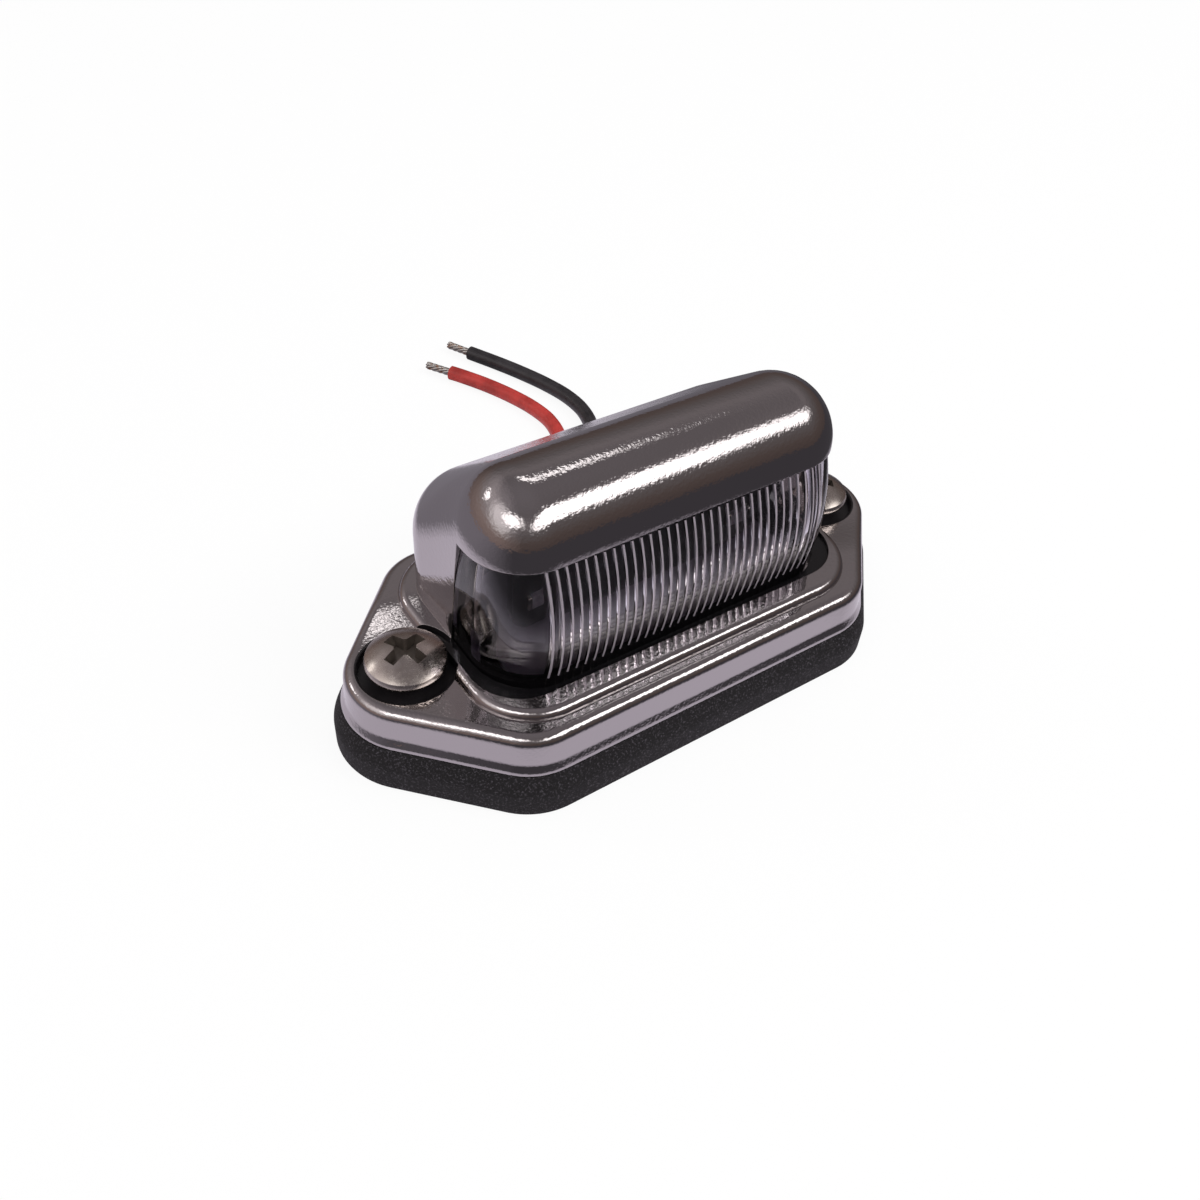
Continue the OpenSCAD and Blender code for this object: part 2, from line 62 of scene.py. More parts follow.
def linear(hex_colour: str) -> tuple[float, float, float, float]:
    """Turns an sRGB colour into the linear one that a shader takes.

    Args:
        hex_colour: Colour written as "#rrggbb".

    Returns:
        Red, green, blue and alpha, linear.
    """
    values = [int(hex_colour[i : i + 2], 16) / 255 for i in (1, 3, 5)]
    bent = [v / 12.92 if v <= 0.04045 else ((v + 0.055) / 1.055) ** 2.4 for v in values]
    return (*bent, 1.0)


def per_mm(size: float) -> float:
    """Gives the pattern scale that makes one feature this many millimetres wide."""
    return 1 / (size * MM)


def add_node(
    tree: bpy.types.NodeTree,
    kind: str,
    inputs: dict[str | int, object] | None = None,
    stops: Sequence[tuple[float, str]] = (),
    **settings: object,
) -> bpy.types.Node:
    """Adds a node with its settings, values and links.

    Args:
        tree: Node tree that gets the node.
        kind: Blender's name of the node's type.
        inputs: Value for each input, or the output socket that feeds it.
        stops: Place and sRGB colour of each stop, in rising order, where the node is a colour ramp.
        settings: Properties of the node itself.

    Returns:
        The new node.
    """
    node = tree.nodes.new(kind)
    for name, value in settings.items():
        setattr(node, name, value)
    for key, value in (inputs or {}).items():
        socket = node.inputs[key]
        if isinstance(value, Socket):
            tree.links.new(value, socket)
        else:
            socket.default_value = value
    if stops:
        band = node.color_ramp.elements
        while len(band) < len(stops):
            band.new(1.0)
        for element, (at, colour) in zip(band, stops):
            element.position = at
            element.color = linear(colour)
    return node


# Mesh helpers


def arc(x: float, y: float, radius: float, start: float, end: float, steps: int) -> Ring:
    """Gives points on an arc, both ends among them.

    Args:
        x: Centre's first coordinate.
        y: Centre's second coordinate.
        radius: Radius of the arc.
        start: Angle of the first point, in degrees.
        end: Angle of the last point, in degrees.
        steps: Number of equal steps between them.

    Returns:
        Points, one a row.
    """
    turn = np.radians(np.linspace(start, end, steps + 1))
    return np.column_stack([x + radius * np.cos(turn), y + radius * np.sin(turn)])


def at_height(outline: Ring, z: float) -> Ring:
    """Lifts a flat outline to a height."""
    return np.column_stack([outline, np.full(len(outline), z)])


def new_object(name: str, points: np.ndarray, faces: Sequence[Sequence[int]]) -> bpy.types.Object:
    """Makes a mesh object from points in millimetres.

    Args:
        name: Name of the object and its mesh.
        points: Points, one a row.
        faces: Point numbers of each face.

    Returns:
        The object, linked to the scene and smooth all over.
    """
    mesh = bpy.data.meshes.new(name)
    mesh.from_pydata((np.asarray(points, float) * MM).tolist(), [], [list(map(int, f)) for f in faces])
    mesh.validate()
    mesh.update()
    mesh.shade_smooth()
    made = bpy.data.objects.new(name, mesh)
    bpy.context.scene.collection.objects.link(made)
    return made


def skin(name: str, rings: Sequence[Ring]) -> bpy.types.Object:
    """Joins rings of equal length into a body that is closed at both ends.

    Args:
        name: Name of the object.
        rings: Rings of points in millimetres, each turning anticlockwise as seen from the last one.

    Returns:
        The object.
    """
    count = len(rings[0])
    faces = []
    for k in range(len(rings) - 1):
        low, high = k * count, (k + 1) * count
        for i in range(count):
            j = (i + 1) % count
            faces.append((low + i, low + j, high + j, high + i))
    last = (len(rings) - 1) * count
    faces.append(tuple(range(count - 1, -1, -1)))
    faces.append(tuple(range(last, last + count)))
    return new_object(name, np.vstack(rings), faces)


def revolve(name: str, profile: Ring, steps: int, centre: Sequence[float] = (0, 0, 0)) -> bpy.types.Object:
    """Turns a profile of radius and height round an upright axis.

    Args:
        name: Name of the object.
        profile: Radius and height of each point, from the foot up.
        steps: Number of points in each ring.
        centre: Place of the axis and the zero of the heights.

    Returns:
        The object, closed at both ends.
    """
    turn = np.radians(np.linspace(0, 360, steps, endpoint=False))
    circle = np.column_stack([np.cos(turn), np.sin(turn)])
    rings = [at_height(circle * max(r, 0.001), z) + np.array(centre) for r, z in profile]
    return skin(name, rings)


def box(name: str, low: Sequence[float], high: Sequence[float]) -> bpy.types.Object:
    """Makes a box from its lowest and highest corner."""
    (x0, y0, z0), (x1, y1, z1) = low, high
    flat = np.array([[x0, y0], [x1, y0], [x1, y1], [x0, y1]])
    return skin(name, [at_height(flat, z0), at_height(flat, z1)])


def settle(thing: bpy.types.Object) -> bpy.types.Object:
    """Applies an object's modifiers to its mesh."""
    bpy.context.view_layer.update()
    graph = bpy.context.evaluated_depsgraph_get()
    mesh = bpy.data.meshes.new_from_object(thing.evaluated_get(graph))
    thing.modifiers.clear()
    thing.data = mesh
    return thing


class Merge(Enum):
    """The ways in which one solid changes another."""

    CUT = "DIFFERENCE"
    JOIN = "UNION"
    KEEP_COMMON = "INTERSECT"


def combine(target: bpy.types.Object, tool: bpy.types.Object, how: Merge) -> None:
    """Cuts a solid with another or joins them, and removes the second.

    Faces that the second leaves behind keep its finish, where it wears one.

    Args:
        target: Solid that changes.
        tool: Solid that is used up.
        how: What is done with it.
    """
    change = target.modifiers.new(how.name, "BOOLEAN")
    change.operation = how.value
    change.solver = "EXACT"
    change.material_mode = "TRANSFER"
    change.object = tool
    settle(target)
    bpy.data.objects.remove(tool)


def soften(thing: bpy.types.Object, width: float, angle: float = 40, segments: int = 3) -> None:
    """Rounds an object's sharp edges.

    Args:
        thing: Object that is changed.
        width: Width of the rounding in millimetres.
        angle: Edges sharper than this many degrees are rounded.
        segments: Number of faces across the rounding.
    """
    change = thing.modifiers.new("rounding", "BEVEL")
    change.width = width * MM
    change.segments = segments
    change.limit_method = "ANGLE"
    change.angle_limit = math.radians(angle)
    change.harden_normals = False
    settle(thing)


def shade(thing: bpy.types.Object, angle: float = 32) -> None:
    """Makes flats read flat and rounds read round.

    Args:
        thing: Object that is changed.
        angle: Edges sharper than this many degrees stay crisp.
    """
    thing.data.shade_smooth()
    thing.data.set_sharp_from_angle(angle=math.radians(angle))
    change = thing.modifiers.new("normals", "WEIGHTED_NORMAL")
    change.mode = "FACE_AREA"
    change.keep_sharp = True
    change.weight = 60
    settle(thing)


def joined(name: str, parts: Sequence[bpy.types.Object]) -> bpy.types.Object:
    """Gathers several meshes in one object and keeps the material of each.

    Args:
        name: Name of the object that results.
        parts: Objects with their materials.

    Returns:
        The object that holds them all.
    """
    points: list[np.ndarray] = []
    faces: list[tuple[int, ...]] = []
    slots: list[int] = []
    finishes: list[bpy.types.Material] = []
    base = 0
    for part in parts:
        mesh = part.data
        points.extend(np.array(v.co) / MM for v in mesh.vertices)
        for finish in mesh.materials:
            if finish not in finishes:
                finishes.append(finish)
        numbers = [finishes.index(finish) for finish in mesh.materials] or [0]
        for face in mesh.polygons:
            faces.append(tuple(base + i for i in face.vertices))
            slots.append(numbers[face.material_index])
        base += len(mesh.vertices)
        bpy.data.objects.remove(part)
    made = new_object(name, np.array(points), faces)
    for finish in finishes:
        made.data.materials.append(finish)
    made.data.polygons.foreach_set("material_index", slots)
    return made


def wear(thing: bpy.types.Object, finish: bpy.types.Material) -> bpy.types.Object:
    """Gives an object one finish in place of any it had."""
    thing.data.materials.clear()
    thing.data.materials.append(finish)
    return thing


def mount(thing: bpy.types.Object, slot: str, *nodes: str) -> bpy.types.Object:
    """Fixes a piece to the lamp.

    Args:
        thing: Piece that rides on the lamp's one body.
        slot: Material slot of the record; not used.
        nodes: CAD nodes that it stands for.

    Returns:
        The piece.
    """
    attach(thing, "root")
    if nodes:
        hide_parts(*nodes)
    return thing


# Finishes


class Finish:
    """A finish that becomes one node material."""

    name = "finish"

    def surface(self, tree: bpy.types.NodeTree) -> Socket:
        """Builds the shader and gives its output."""
        raise NotImplementedError

    def build(self) -> bpy.types.Material:
        """Makes the material.

        Returns:
            The material, named for the real finish.
        """
        material = bpy.data.materials.new(self.name)
        material.use_nodes = True
        tree = material.node_tree
        tree.nodes.clear()
        add_node(tree, "ShaderNodeOutputMaterial", {"Surface": self.surface(tree)})
        return material


def patches(size: float, detail: float, where: Socket) -> dict[str | int, object]:
    """Gives the inputs of a soft noise whose patches are this many millimetres wide."""
    return {"Vector": where, "Scale": per_mm(size), "Detail": detail, "Roughness": 0.55}


def span(value: Socket, low: float, high: float, to_low: float, to_high: float) -> dict[str | int, object]:
    """Gives the inputs that map one span of a value onto another, which stops at its ends."""
    return {"Value": value, "From Min": low, "From Max": high, "To Min": to_low, "To Max": to_high}


def raised(height: Socket, depth: float, under: Socket | None = None) -> dict[str | int, object]:
    """Gives the inputs that raise a height pattern, in millimetres, over the normal under it."""
    inputs: dict[str | int, object] = {"Height": height, "Distance": depth * MM, "Strength": 1.0}
    return inputs if under is None else inputs | {"Normal": under}


@dataclass(frozen=True)
class ChromePlating(Finish):
    """Decorative chrome on moulded ABS: a dark, warm mirror with the orange peel of its base coat."""

    name = "chrome_plated_abs"
    colour: str = "#b4afb0"
    roughness: float = 0.07
    edge_r: float = 0.12
    peel_size: float = 0.34
    peel_depth: float = 0.017
    wave_size: float = 5.0
    wave_depth: float = 0.03
    screw_x: float = 26.0
    dish_from: float = 3.6
    dish_to: float = 10.0
    dish_depth: float = 0.55

    def surface(self, tree: bpy.types.NodeTree) -> Socket:
        """Builds the mirror, its fine peel, its long sink waves and the soft dish round each screw."""
        spot = add_node(tree, "ShaderNodeTexCoord").outputs["Object"]
        edge = add_node(tree, "ShaderNodeBevel", {"Radius": self.edge_r * MM}, samples=6).outputs["Normal"]
        mirrored = add_node(tree, "ShaderNodeVectorMath", {0: spot}, operation="ABSOLUTE").outputs[0]
        offset = add_node(
            tree, "ShaderNodeVectorMath", {0: mirrored, 1: (-self.screw_x * MM, 0, 0)}, operation="ADD"
        ).outputs[0]
        flat = add_node(
            tree, "ShaderNodeVectorMath", {0: offset, 1: (1, 1, 0)}, operation="MULTIPLY"
        ).outputs[0]
        away = add_node(tree, "ShaderNodeVectorMath", {0: flat}, operation="LENGTH").outputs["Value"]
        bowl = add_node(
            tree,
            "ShaderNodeMapRange",
            span(away, self.dish_from * MM, self.dish_to * MM, 0, 1),
            interpolation_type="SMOOTHSTEP",
        ).outputs["Result"]
        dish = add_node(tree, "ShaderNodeBump", raised(bowl, self.dish_depth, edge)).outputs["Normal"]
        swell = add_node(tree, "ShaderNodeTexNoise", patches(self.wave_size, 0, spot)).outputs["Fac"]
        waves = add_node(tree, "ShaderNodeBump", raised(swell, self.wave_depth, dish)).outputs["Normal"]
        pimples = add_node(tree, "ShaderNodeTexNoise", patches(self.peel_size, 1, spot)).outputs["Fac"]
        peel = add_node(tree, "ShaderNodeBump", raised(pimples, self.peel_depth, waves)).outputs["Normal"]
        cloud = add_node(tree, "ShaderNodeTexNoise", patches(3.0, 4, spot)).outputs["Fac"]
        haze = add_node(
            tree, "ShaderNodeMapRange", span(cloud, 0.35, 0.75, self.roughness * 0.8, self.roughness * 1.6)
        ).outputs["Result"]
        return add_node(
            tree,
            "ShaderNodeBsdfPrincipled",
            {"Base Color": linear(self.colour), "Metallic": 1.0, "Roughness": haze, "Normal": peel},
        ).outputs["BSDF"]


@dataclass(frozen=True)
class ClearPlastic(Finish):
    """Injection-moulded polycarbonate: clear and glossy, with the softest flow waves."""

    name = "clear_polycarbonate"
    colour: str = "#f4f1f7"
    roughness: float = 0.03
    wave_size: float = 3.0
    wave_depth: float = 0.0005

    def surface(self, tree: bpy.types.NodeTree) -> Socket:
        """Builds the clear plastic."""
        spot = add_node(tree, "ShaderNodeTexCoord").outputs["Object"]
        flow = add_node(tree, "ShaderNodeTexNoise", patches(self.wave_size, 1, spot)).outputs["Fac"]
        waves = add_node(tree, "ShaderNodeBump", raised(flow, self.wave_depth)).outputs["Normal"]
        return add_node(
            tree,
            "ShaderNodeBsdfPrincipled",
            {
                "Base Color": linear(self.colour),
                "Roughness": self.roughness,
                "IOR": 1.58,
                "Transmission Weight": 1.0,
                "Normal": waves,
            },
        ).outputs["BSDF"]


@dataclass(frozen=True)
class PaintedHighlightFlute(Finish):
    """The lens's rib crests: the same plastic, made paler and less clear as a painted highlight along each
    crest.
    """

    name = "polycarbonate_painted_crest_highlight"
    colour: str = "#cfc4cf"

    def surface(self, tree: bpy.types.NodeTree) -> Socket:
        """Builds the paler plastic of the painted highlight, which lets through a part of the light."""
        return add_node(
            tree,
            "ShaderNodeBsdfPrincipled",
            {"Base Color": linear(self.colour), "Roughness": 0.16, "IOR": 1.58, "Transmission Weight": 0.62},
        ).outputs["BSDF"]


@dataclass(frozen=True)
class BlackSealant(Finish):
    """Cured black silicone: wet-looking and slightly lumpy where the bead was laid."""

    name = "cured_black_silicone"
    colour: str = "#0d0c0e"
    lump_size: float = 1.6
    lump_depth: float = 0.03

    def surface(self, tree: bpy.types.NodeTree) -> Socket:
        """Builds the glossy black."""
        spot = add_node(tree, "ShaderNodeTexCoord").outputs["Object"]
        mounds = add_node(tree, "ShaderNodeTexNoise", patches(self.lump_size, 2, spot)).outputs["Fac"]
        lumps = add_node(tree, "ShaderNodeBump", raised(mounds, self.lump_depth)).outputs["Normal"]
        return add_node(
            tree,
            "ShaderNodeBsdfPrincipled",
            {"Base Color": linear(self.colour), "Roughness": 0.16, "IOR": 1.43, "Normal": lumps},
        ).outputs["BSDF"]


@dataclass(frozen=True)
class ClosedCellFoam(Finish):
    """Die-cut EVA foam: matt black whose cut cells catch the light as grey specks."""

    name = "die_cut_eva_foam"
    colour: str = "#121012"
    speck: str = "#423e44"
    pit: str = "#0b0a0c"
    cell_size: float = 0.12
    cell_depth: float = 0.03

    def surface(self, tree: bpy.types.NodeTree) -> Socket:
        """Builds the foam's cells and specks."""
        spot = add_node(tree, "ShaderNodeTexCoord").outputs["Object"]
        cells = add_node(tree, "ShaderNodeTexVoronoi", {"Vector": spot, "Scale": per_mm(self.cell_size)})
        specks = add_node(tree, "ShaderNodeTexNoise", patches(self.cell_size * 1.7, 3, spot)).outputs["Fac"]
        tint = add_node(
            tree,
            "ShaderNodeValToRGB",
            {"Fac": specks},
            stops=[(0.0, self.pit), (0.54, self.colour), (0.7, self.speck)],
        ).outputs["Color"]
        pores = add_node(tree, "ShaderNodeBump", raised(cells.outputs["Distance"], self.cell_depth))
        dents = add_node(tree, "ShaderNodeTexNoise", patches(1.4, 2, spot)).outputs["Fac"]
        rough = add_node(tree, "ShaderNodeBump", raised(dents, self.cell_depth, pores.outputs["Normal"]))
        return add_node(
            tree,
            "ShaderNodeBsdfPrincipled",
            {"Base Color": tint, "Roughness": 0.82, "IOR": 1.45, "Normal": rough.outputs["Normal"]},
        ).outputs["BSDF"]


@dataclass(frozen=True)
class StainlessScrew(Finish):
    """Cold-headed stainless steel: satin, slightly warm, with forming marks round its axis."""

    name = "cold_headed_stainless_steel"
    colour: str = "#c6beb8"
    stain: str = "#bdb4ad"
    roughness: float = 0.23

    def surface(self, tree: bpy.types.NodeTree) -> Socket:
        """Builds the satin metal with its faint stains."""
        spot = add_node(tree, "ShaderNodeTexCoord").outputs["Object"]
        stains = add_node(tree, "ShaderNodeTexNoise", patches(1.1, 3, spot)).outputs["Fac"]
        tint = add_node(
            tree, "ShaderNodeValToRGB", {"Fac": stains}, stops=[(0.38, self.stain), (0.6, self.colour)]
        ).outputs["Color"]
        satin = add_node(tree, "ShaderNodeTexNoise", patches(0.35, 3, spot)).outputs["Fac"]
        haze = add_node(
            tree, "ShaderNodeMapRange", span(satin, 0.3, 0.7, self.roughness * 0.75, self.roughness * 1.3)
        ).outputs["Result"]
        forming = add_node(tree, "ShaderNodeTexNoise", patches(0.16, 2, spot)).outputs["Fac"]
        marks = add_node(tree, "ShaderNodeBump", raised(forming, 0.0012)).outputs["Normal"]
        return add_node(
            tree,
            "ShaderNodeBsdfPrincipled",
            {"Base Color": tint, "Metallic": 1.0, "Roughness": haze, "Normal": marks},
        ).outputs["BSDF"]


@dataclass(frozen=True)
class WireInsulation(Finish):
    """Extruded PVC insulation: smooth and waxy, with faint lengthwise handling marks."""

    name: str = "extruded_pvc_insulation"
    colour: str = "#b5352f"
    deep: str = "#93261f"

    def surface(self, tree: bpy.types.NodeTree) -> Socket:
        """Builds the waxy plastic."""
        spot = add_node(tree, "ShaderNodeTexCoord").outputs["Object"]
        shades = add_node(tree, "ShaderNodeTexNoise", patches(2.6, 3, spot)).outputs["Fac"]
        tint = add_node(
            tree, "ShaderNodeValToRGB", {"Fac": shades}, stops=[(0.3, self.deep), (0.62, self.colour)]
        ).outputs["Color"]
        wax = add_node(tree, "ShaderNodeTexNoise", patches(0.8, 3, spot)).outputs["Fac"]
        haze = add_node(tree, "ShaderNodeMapRange", span(wax, 0.3, 0.7, 0.36, 0.52)).outputs["Result"]
        handling = add_node(tree, "ShaderNodeTexNoise", patches(0.5, 2, spot)).outputs["Fac"]
        marks = add_node(tree, "ShaderNodeBump", raised(handling, 0.006)).outputs["Normal"]
        return add_node(
            tree,
            "ShaderNodeBsdfPrincipled",
            {"Base Color": tint, "Roughness": haze, "IOR": 1.53, "Normal": marks},
        ).outputs["BSDF"]


@dataclass(frozen=True)
class TinnedCopper(Finish):
    """Solder-dipped copper strands: bright grey with copper showing faintly in the grooves."""

    name = "solder_dipped_copper"
    colour: str = "#c9c6c2"
    copper: str = "#b08a70"

    def surface(self, tree: bpy.types.NodeTree) -> Socket:
        """Builds the tinned metal."""
        spot = add_node(tree, "ShaderNodeTexCoord").outputs["Object"]
        worn = add_node(tree, "ShaderNodeTexNoise", patches(0.7, 2, spot)).outputs["Fac"]
        tint = add_node(
            tree, "ShaderNodeValToRGB", {"Fac": worn}, stops=[(0.34, self.copper), (0.5, self.colour)]
        ).outputs["Color"]
        solder = add_node(tree, "ShaderNodeTexNoise", patches(0.25, 2, spot)).outputs["Fac"]
        marks = add_node(tree, "ShaderNodeBump", raised(solder, 0.01)).outputs["Normal"]
        return add_node(
            tree,
            "ShaderNodeBsdfPrincipled",
            {"Base Color": tint, "Metallic": 1.0, "Roughness": 0.27, "Normal": marks},
        ).outputs["BSDF"]


@dataclass(frozen=True)
class SolderMask(Finish):
    """Black solder mask over glass-epoxy: satin, with the weave faintly raised."""

    name = "black_solder_mask"
    colour: str = "#111413"
    weave: float = 0.5

    def surface(self, tree: bpy.types.NodeTree) -> Socket:
        """Builds the mask and the weave under it."""
        spot = add_node(tree, "ShaderNodeTexCoord").outputs["Object"]
        threads = add_node(
            tree,
            "ShaderNodeTexWave",
            {"Vector": spot, "Scale": per_mm(self.weave) / 6.3, "Distortion": 0.4},
            bands_direction="DIAGONAL",
        )
        woven = add_node(tree, "ShaderNodeBump", raised(threads.outputs["Fac"], 0.003)).outputs["Normal"]
        return add_node(
            tree,
            "ShaderNodeBsdfPrincipled",
            {"Base Color": linear(self.colour), "Roughness": 0.28, "IOR": 1.52, "Normal": woven},
        ).outputs["BSDF"]


@dataclass(frozen=True)
class MouldedPart(Finish):
    """A small moulded or fired part: one colour with a fine grain and a soft gloss."""

    name: str = "moulded_part"
    colour: str = "#808080"
    other: str = "#707070"
    grain: float = 0.4
    grain_depth: float = 0.004
    roughness: float = 0.4

    def surface(self, tree: bpy.types.NodeTree) -> Socket:
        """Builds the grain and the gloss."""
        spot = add_node(tree, "ShaderNodeTexCoord").outputs["Object"]
        shades = add_node(tree, "ShaderNodeTexNoise", patches(self.grain * 2, 3, spot)).outputs["Fac"]
        tint = add_node(
            tree, "ShaderNodeValToRGB", {"Fac": shades}, stops=[(0.35, self.other), (0.65, self.colour)]
        ).outputs["Color"]
        fine = add_node(tree, "ShaderNodeTexNoise", patches(self.grain, 2, spot)).outputs["Fac"]
        marks = add_node(tree, "ShaderNodeBump", raised(fine, self.grain_depth)).outputs["Normal"]
        return add_node(
            tree,
            "ShaderNodeBsdfPrincipled",
            {"Base Color": tint, "Roughness": self.roughness, "Normal": marks},
        ).outputs["BSDF"]


# Studio


@dataclass(frozen=True)
class Softbox:
    """A lamp by its direction and size in degrees and by how bright its face looks, where 1 is white."""

    name: str
    azimuth: float
    elevation: float
    size: tuple[float, float]
    level: float


# What the chrome and the screws show of the lamps: soft edges, as in the photograph
MIRRORED = (
    Softbox("hood_streak", 152, 42, (60, 20), 3.6),
    Softbox("front_edge", 44, 58, (26, 7), 2.2),
    Softbox("left_end", -40, 30, (15, 11), 2.4),
    Softbox("left_wall", -93, 37, (56, 40), 0.6),
    Softbox("left_shoulder", -122, 46, (42, 20), 2.4),
)
# What lights the matt surfaces
LIGHTING = (
    Softbox("broad_softbox", 135, 42, (34, 22), 4.2),
    Softbox("narrow_strip", 44, 58, (22, 5), 3.2),
    Softbox("left_lamp", -40, 30, (16, 12), 3.0),
    Softbox("overhead_fill", -140, 65, (50, 50), 1.1),
)
# The room's colour from straight below to straight above
ROOM = (
    (0.0, "#5a5658"),
    (0.5, "#5f5350"),
    (0.6, "#685c58"),
    (0.72, "#767070"),
    (0.83, "#8e8788"),
    (0.91, "#7c7678"),
    (1.0, "#868083"),
)


@dataclass
class Studio:
    """Camera, floor, surroundings and lamps of the photograph."""

    azimuth: float = -37.474
    elevation: float = 43.116
    roll: float = 4.741
    distance: float = 125.107
    across: float = -2.4
    upward: float = 3.938
    focal: float = 33.662
    lamp_away: float = 0.7
    lamp_foot: float = 15
    floor_half: float = 3000
    paper_stretch: tuple[float, float, float] = (19.2, 25.0, 0.0)
    paper_shift: tuple[float, float, float] = (0.0, -0.2, 0.0)
    paper_near: float = 0.85

    def camera(self) -> None:
        """Places the camera where the photographer's stood."""
        a, e, r = (math.radians(v) for v in (self.azimuth, self.elevation, self.roll))
        back = Vector((math.sin(a) * math.cos(e), -math.cos(a) * math.cos(e), math.sin(e)))
        right = Vector((math.cos(a), math.sin(a), 0))
        up = back.cross(right)
        side = right * math.cos(r) + up * math.sin(r)
        top = up * math.cos(r) - right * math.sin(r)
        data = bpy.data.cameras.new("camera")
        data.sensor_width = 36
        data.lens = self.focal
        data.clip_start = 0.002
        data.clip_end = 50
        made = bpy.data.objects.new("camera", data)
        turn = Matrix((side, top, back)).transposed().to_4x4()
        spot = (back * self.distance + side * self.across + top * self.upward) * MM
        made.matrix_world = Matrix.Translation(spot) @ turn
        bpy.context.scene.collection.objects.link(made)
        bpy.context.scene.camera = made

    @staticmethod
    def towards(azimuth: float, elevation: float) -> Vector:
        """Gives a direction from its angle off +Y towards +X and its height above the horizon, in degrees."""
        a, e = math.radians(azimuth), math.radians(elevation)
        return Vector((math.sin(a) * math.cos(e), math.cos(a) * math.cos(e), math.sin(e)))

    def glow(self, tree: bpy.types.NodeTree, ray: Socket, softbox: Softbox) -> Socket:
        """Gives how bright polished surfaces show a soft-edged lamp in a direction.

        Args:
            tree: Node tree of the surroundings.
            ray: Direction that is looked in.
            softbox: The lamp.

        Returns:
            The brightness.
        """
        wide, high = (math.sin(math.radians(v / 2)) for v in softbox.size)
        middle = self.towards(softbox.azimuth, softbox.elevation)
        side = middle.cross(Vector((0, 0, 1))).normalized()
        up = side.cross(middle)
        found = []
        for axis in (side / wide, up / high, middle):
            dot = add_node(tree, "ShaderNodeVectorMath", {0: ray, 1: tuple(axis)}, operation="DOT_PRODUCT")
            found.append(dot.outputs["Value"])
        flat = add_node(tree, "ShaderNodeCombineXYZ", {"X": found[0], "Y": found[1]}).outputs["Vector"]
        off = add_node(tree, "ShaderNodeVectorMath", {0: flat}, operation="LENGTH").outputs["Value"]
        bright = add_node(
            tree, "ShaderNodeMapRange", span(off, 0.5, 1.3, softbox.level, 0), interpolation_type="SMOOTHSTEP"
        ).outputs["Result"]
        ahead = add_node(tree, "ShaderNodeMapRange", span(found[2], 0.2, 0.4, 0, 1)).outputs["Result"]
        return add_node(tree, "ShaderNodeMath", {0: bright, 1: ahead}, operation="MULTIPLY").outputs[0]

    def lamp(self, softbox: Softbox) -> None:
        """Hangs a softbox that lights matt surfaces."""
        data = bpy.data.lights.new(softbox.name, "AREA")
        data.shape = "RECTANGLE"
        data.size = 2 * self.lamp_away * math.tan(math.radians(softbox.size[0] / 2))
        data.size_y = 2 * self.lamp_away * math.tan(math.radians(softbox.size[1] / 2))
        data.energy = softbox.level * math.pi * data.size * data.size_y
        made = bpy.data.objects.new(softbox.name, data)
        direction = self.towards(softbox.azimuth, softbox.elevation)
        made.location = direction * self.lamp_away + Vector((0, 0, self.lamp_foot * MM))
        made.rotation_mode = "QUATERNION"
        made.rotation_quaternion = direction.to_track_quat("Z", "Y")
        made.visible_camera = False
        made.visible_glossy = False
        made.visible_transmission = False
        bpy.context.scene.collection.objects.link(made)

    def surroundings(self) -> None:
        """Makes the dark room that the chrome mirrors, white where the camera looks past the floor."""
        world = bpy.data.worlds.new("surroundings")
        bpy.context.scene.world = world
        world.use_nodes = True
        tree = world.node_tree
        tree.nodes.clear()
        ray = add_node(tree, "ShaderNodeTexCoord").outputs["Generated"]
        height = add_node(tree, "ShaderNodeSeparateXYZ", {"Vector": ray}).outputs["Z"]
        level = add_node(tree, "ShaderNodeMapRange", span(height, -1, 1, 0, 1)).outputs["Result"]
        room = add_node(tree, "ShaderNodeValToRGB", {"Fac": level}, stops=ROOM).outputs["Color"]
        left = add_node(
            tree, "ShaderNodeVectorMath", {0: ray, 1: (-0.94, 0.34, 0.0)}, operation="DOT_PRODUCT"
        ).outputs["Value"]
        brighter = add_node(tree, "ShaderNodeMapRange", span(left, 0.2, 0.95, 1.0, 2.7)).outputs["Result"]
        path = add_node(tree, "ShaderNodeLightPath").outputs
        seen = add_node(tree, "ShaderNodeBackground", {"Color": linear("#ffffff"), "Strength": 1.0})
        mirrored = add_node(tree, "ShaderNodeBackground", {"Color": room, "Strength": brighter})
        soft = add_node(tree, "ShaderNodeBackground", {"Color": linear("#f4f3f5"), "Strength": 0.55})
        lamps = [self.glow(tree, ray, softbox) for softbox in MIRRORED]
        total = lamps[0]
        for lamp in lamps[1:]:
            total = add_node(tree, "ShaderNodeMath", {0: total, 1: lamp}, operation="ADD").outputs[0]
        softboxes = add_node(tree, "ShaderNodeBackground", {"Color": linear("#fffdfb"), "Strength": total})
        polished = add_node(tree, "ShaderNodeAddShader", {0: mirrored.outputs[0], 1: softboxes.outputs[0]})
        lit = add_node(
            tree,
            "ShaderNodeMixShader",
            {0: path["Is Diffuse Ray"], 1: polished.outputs[0], 2: soft.outputs[0]},
        )
        shown = add_node(
            tree,
            "ShaderNodeMixShader",
            {0: path["Is Camera Ray"], 1: lit.outputs[0], 2: seen.outputs[0]},
        )
        add_node(tree, "ShaderNodeOutputWorld", {"Surface": shown.outputs[0]})

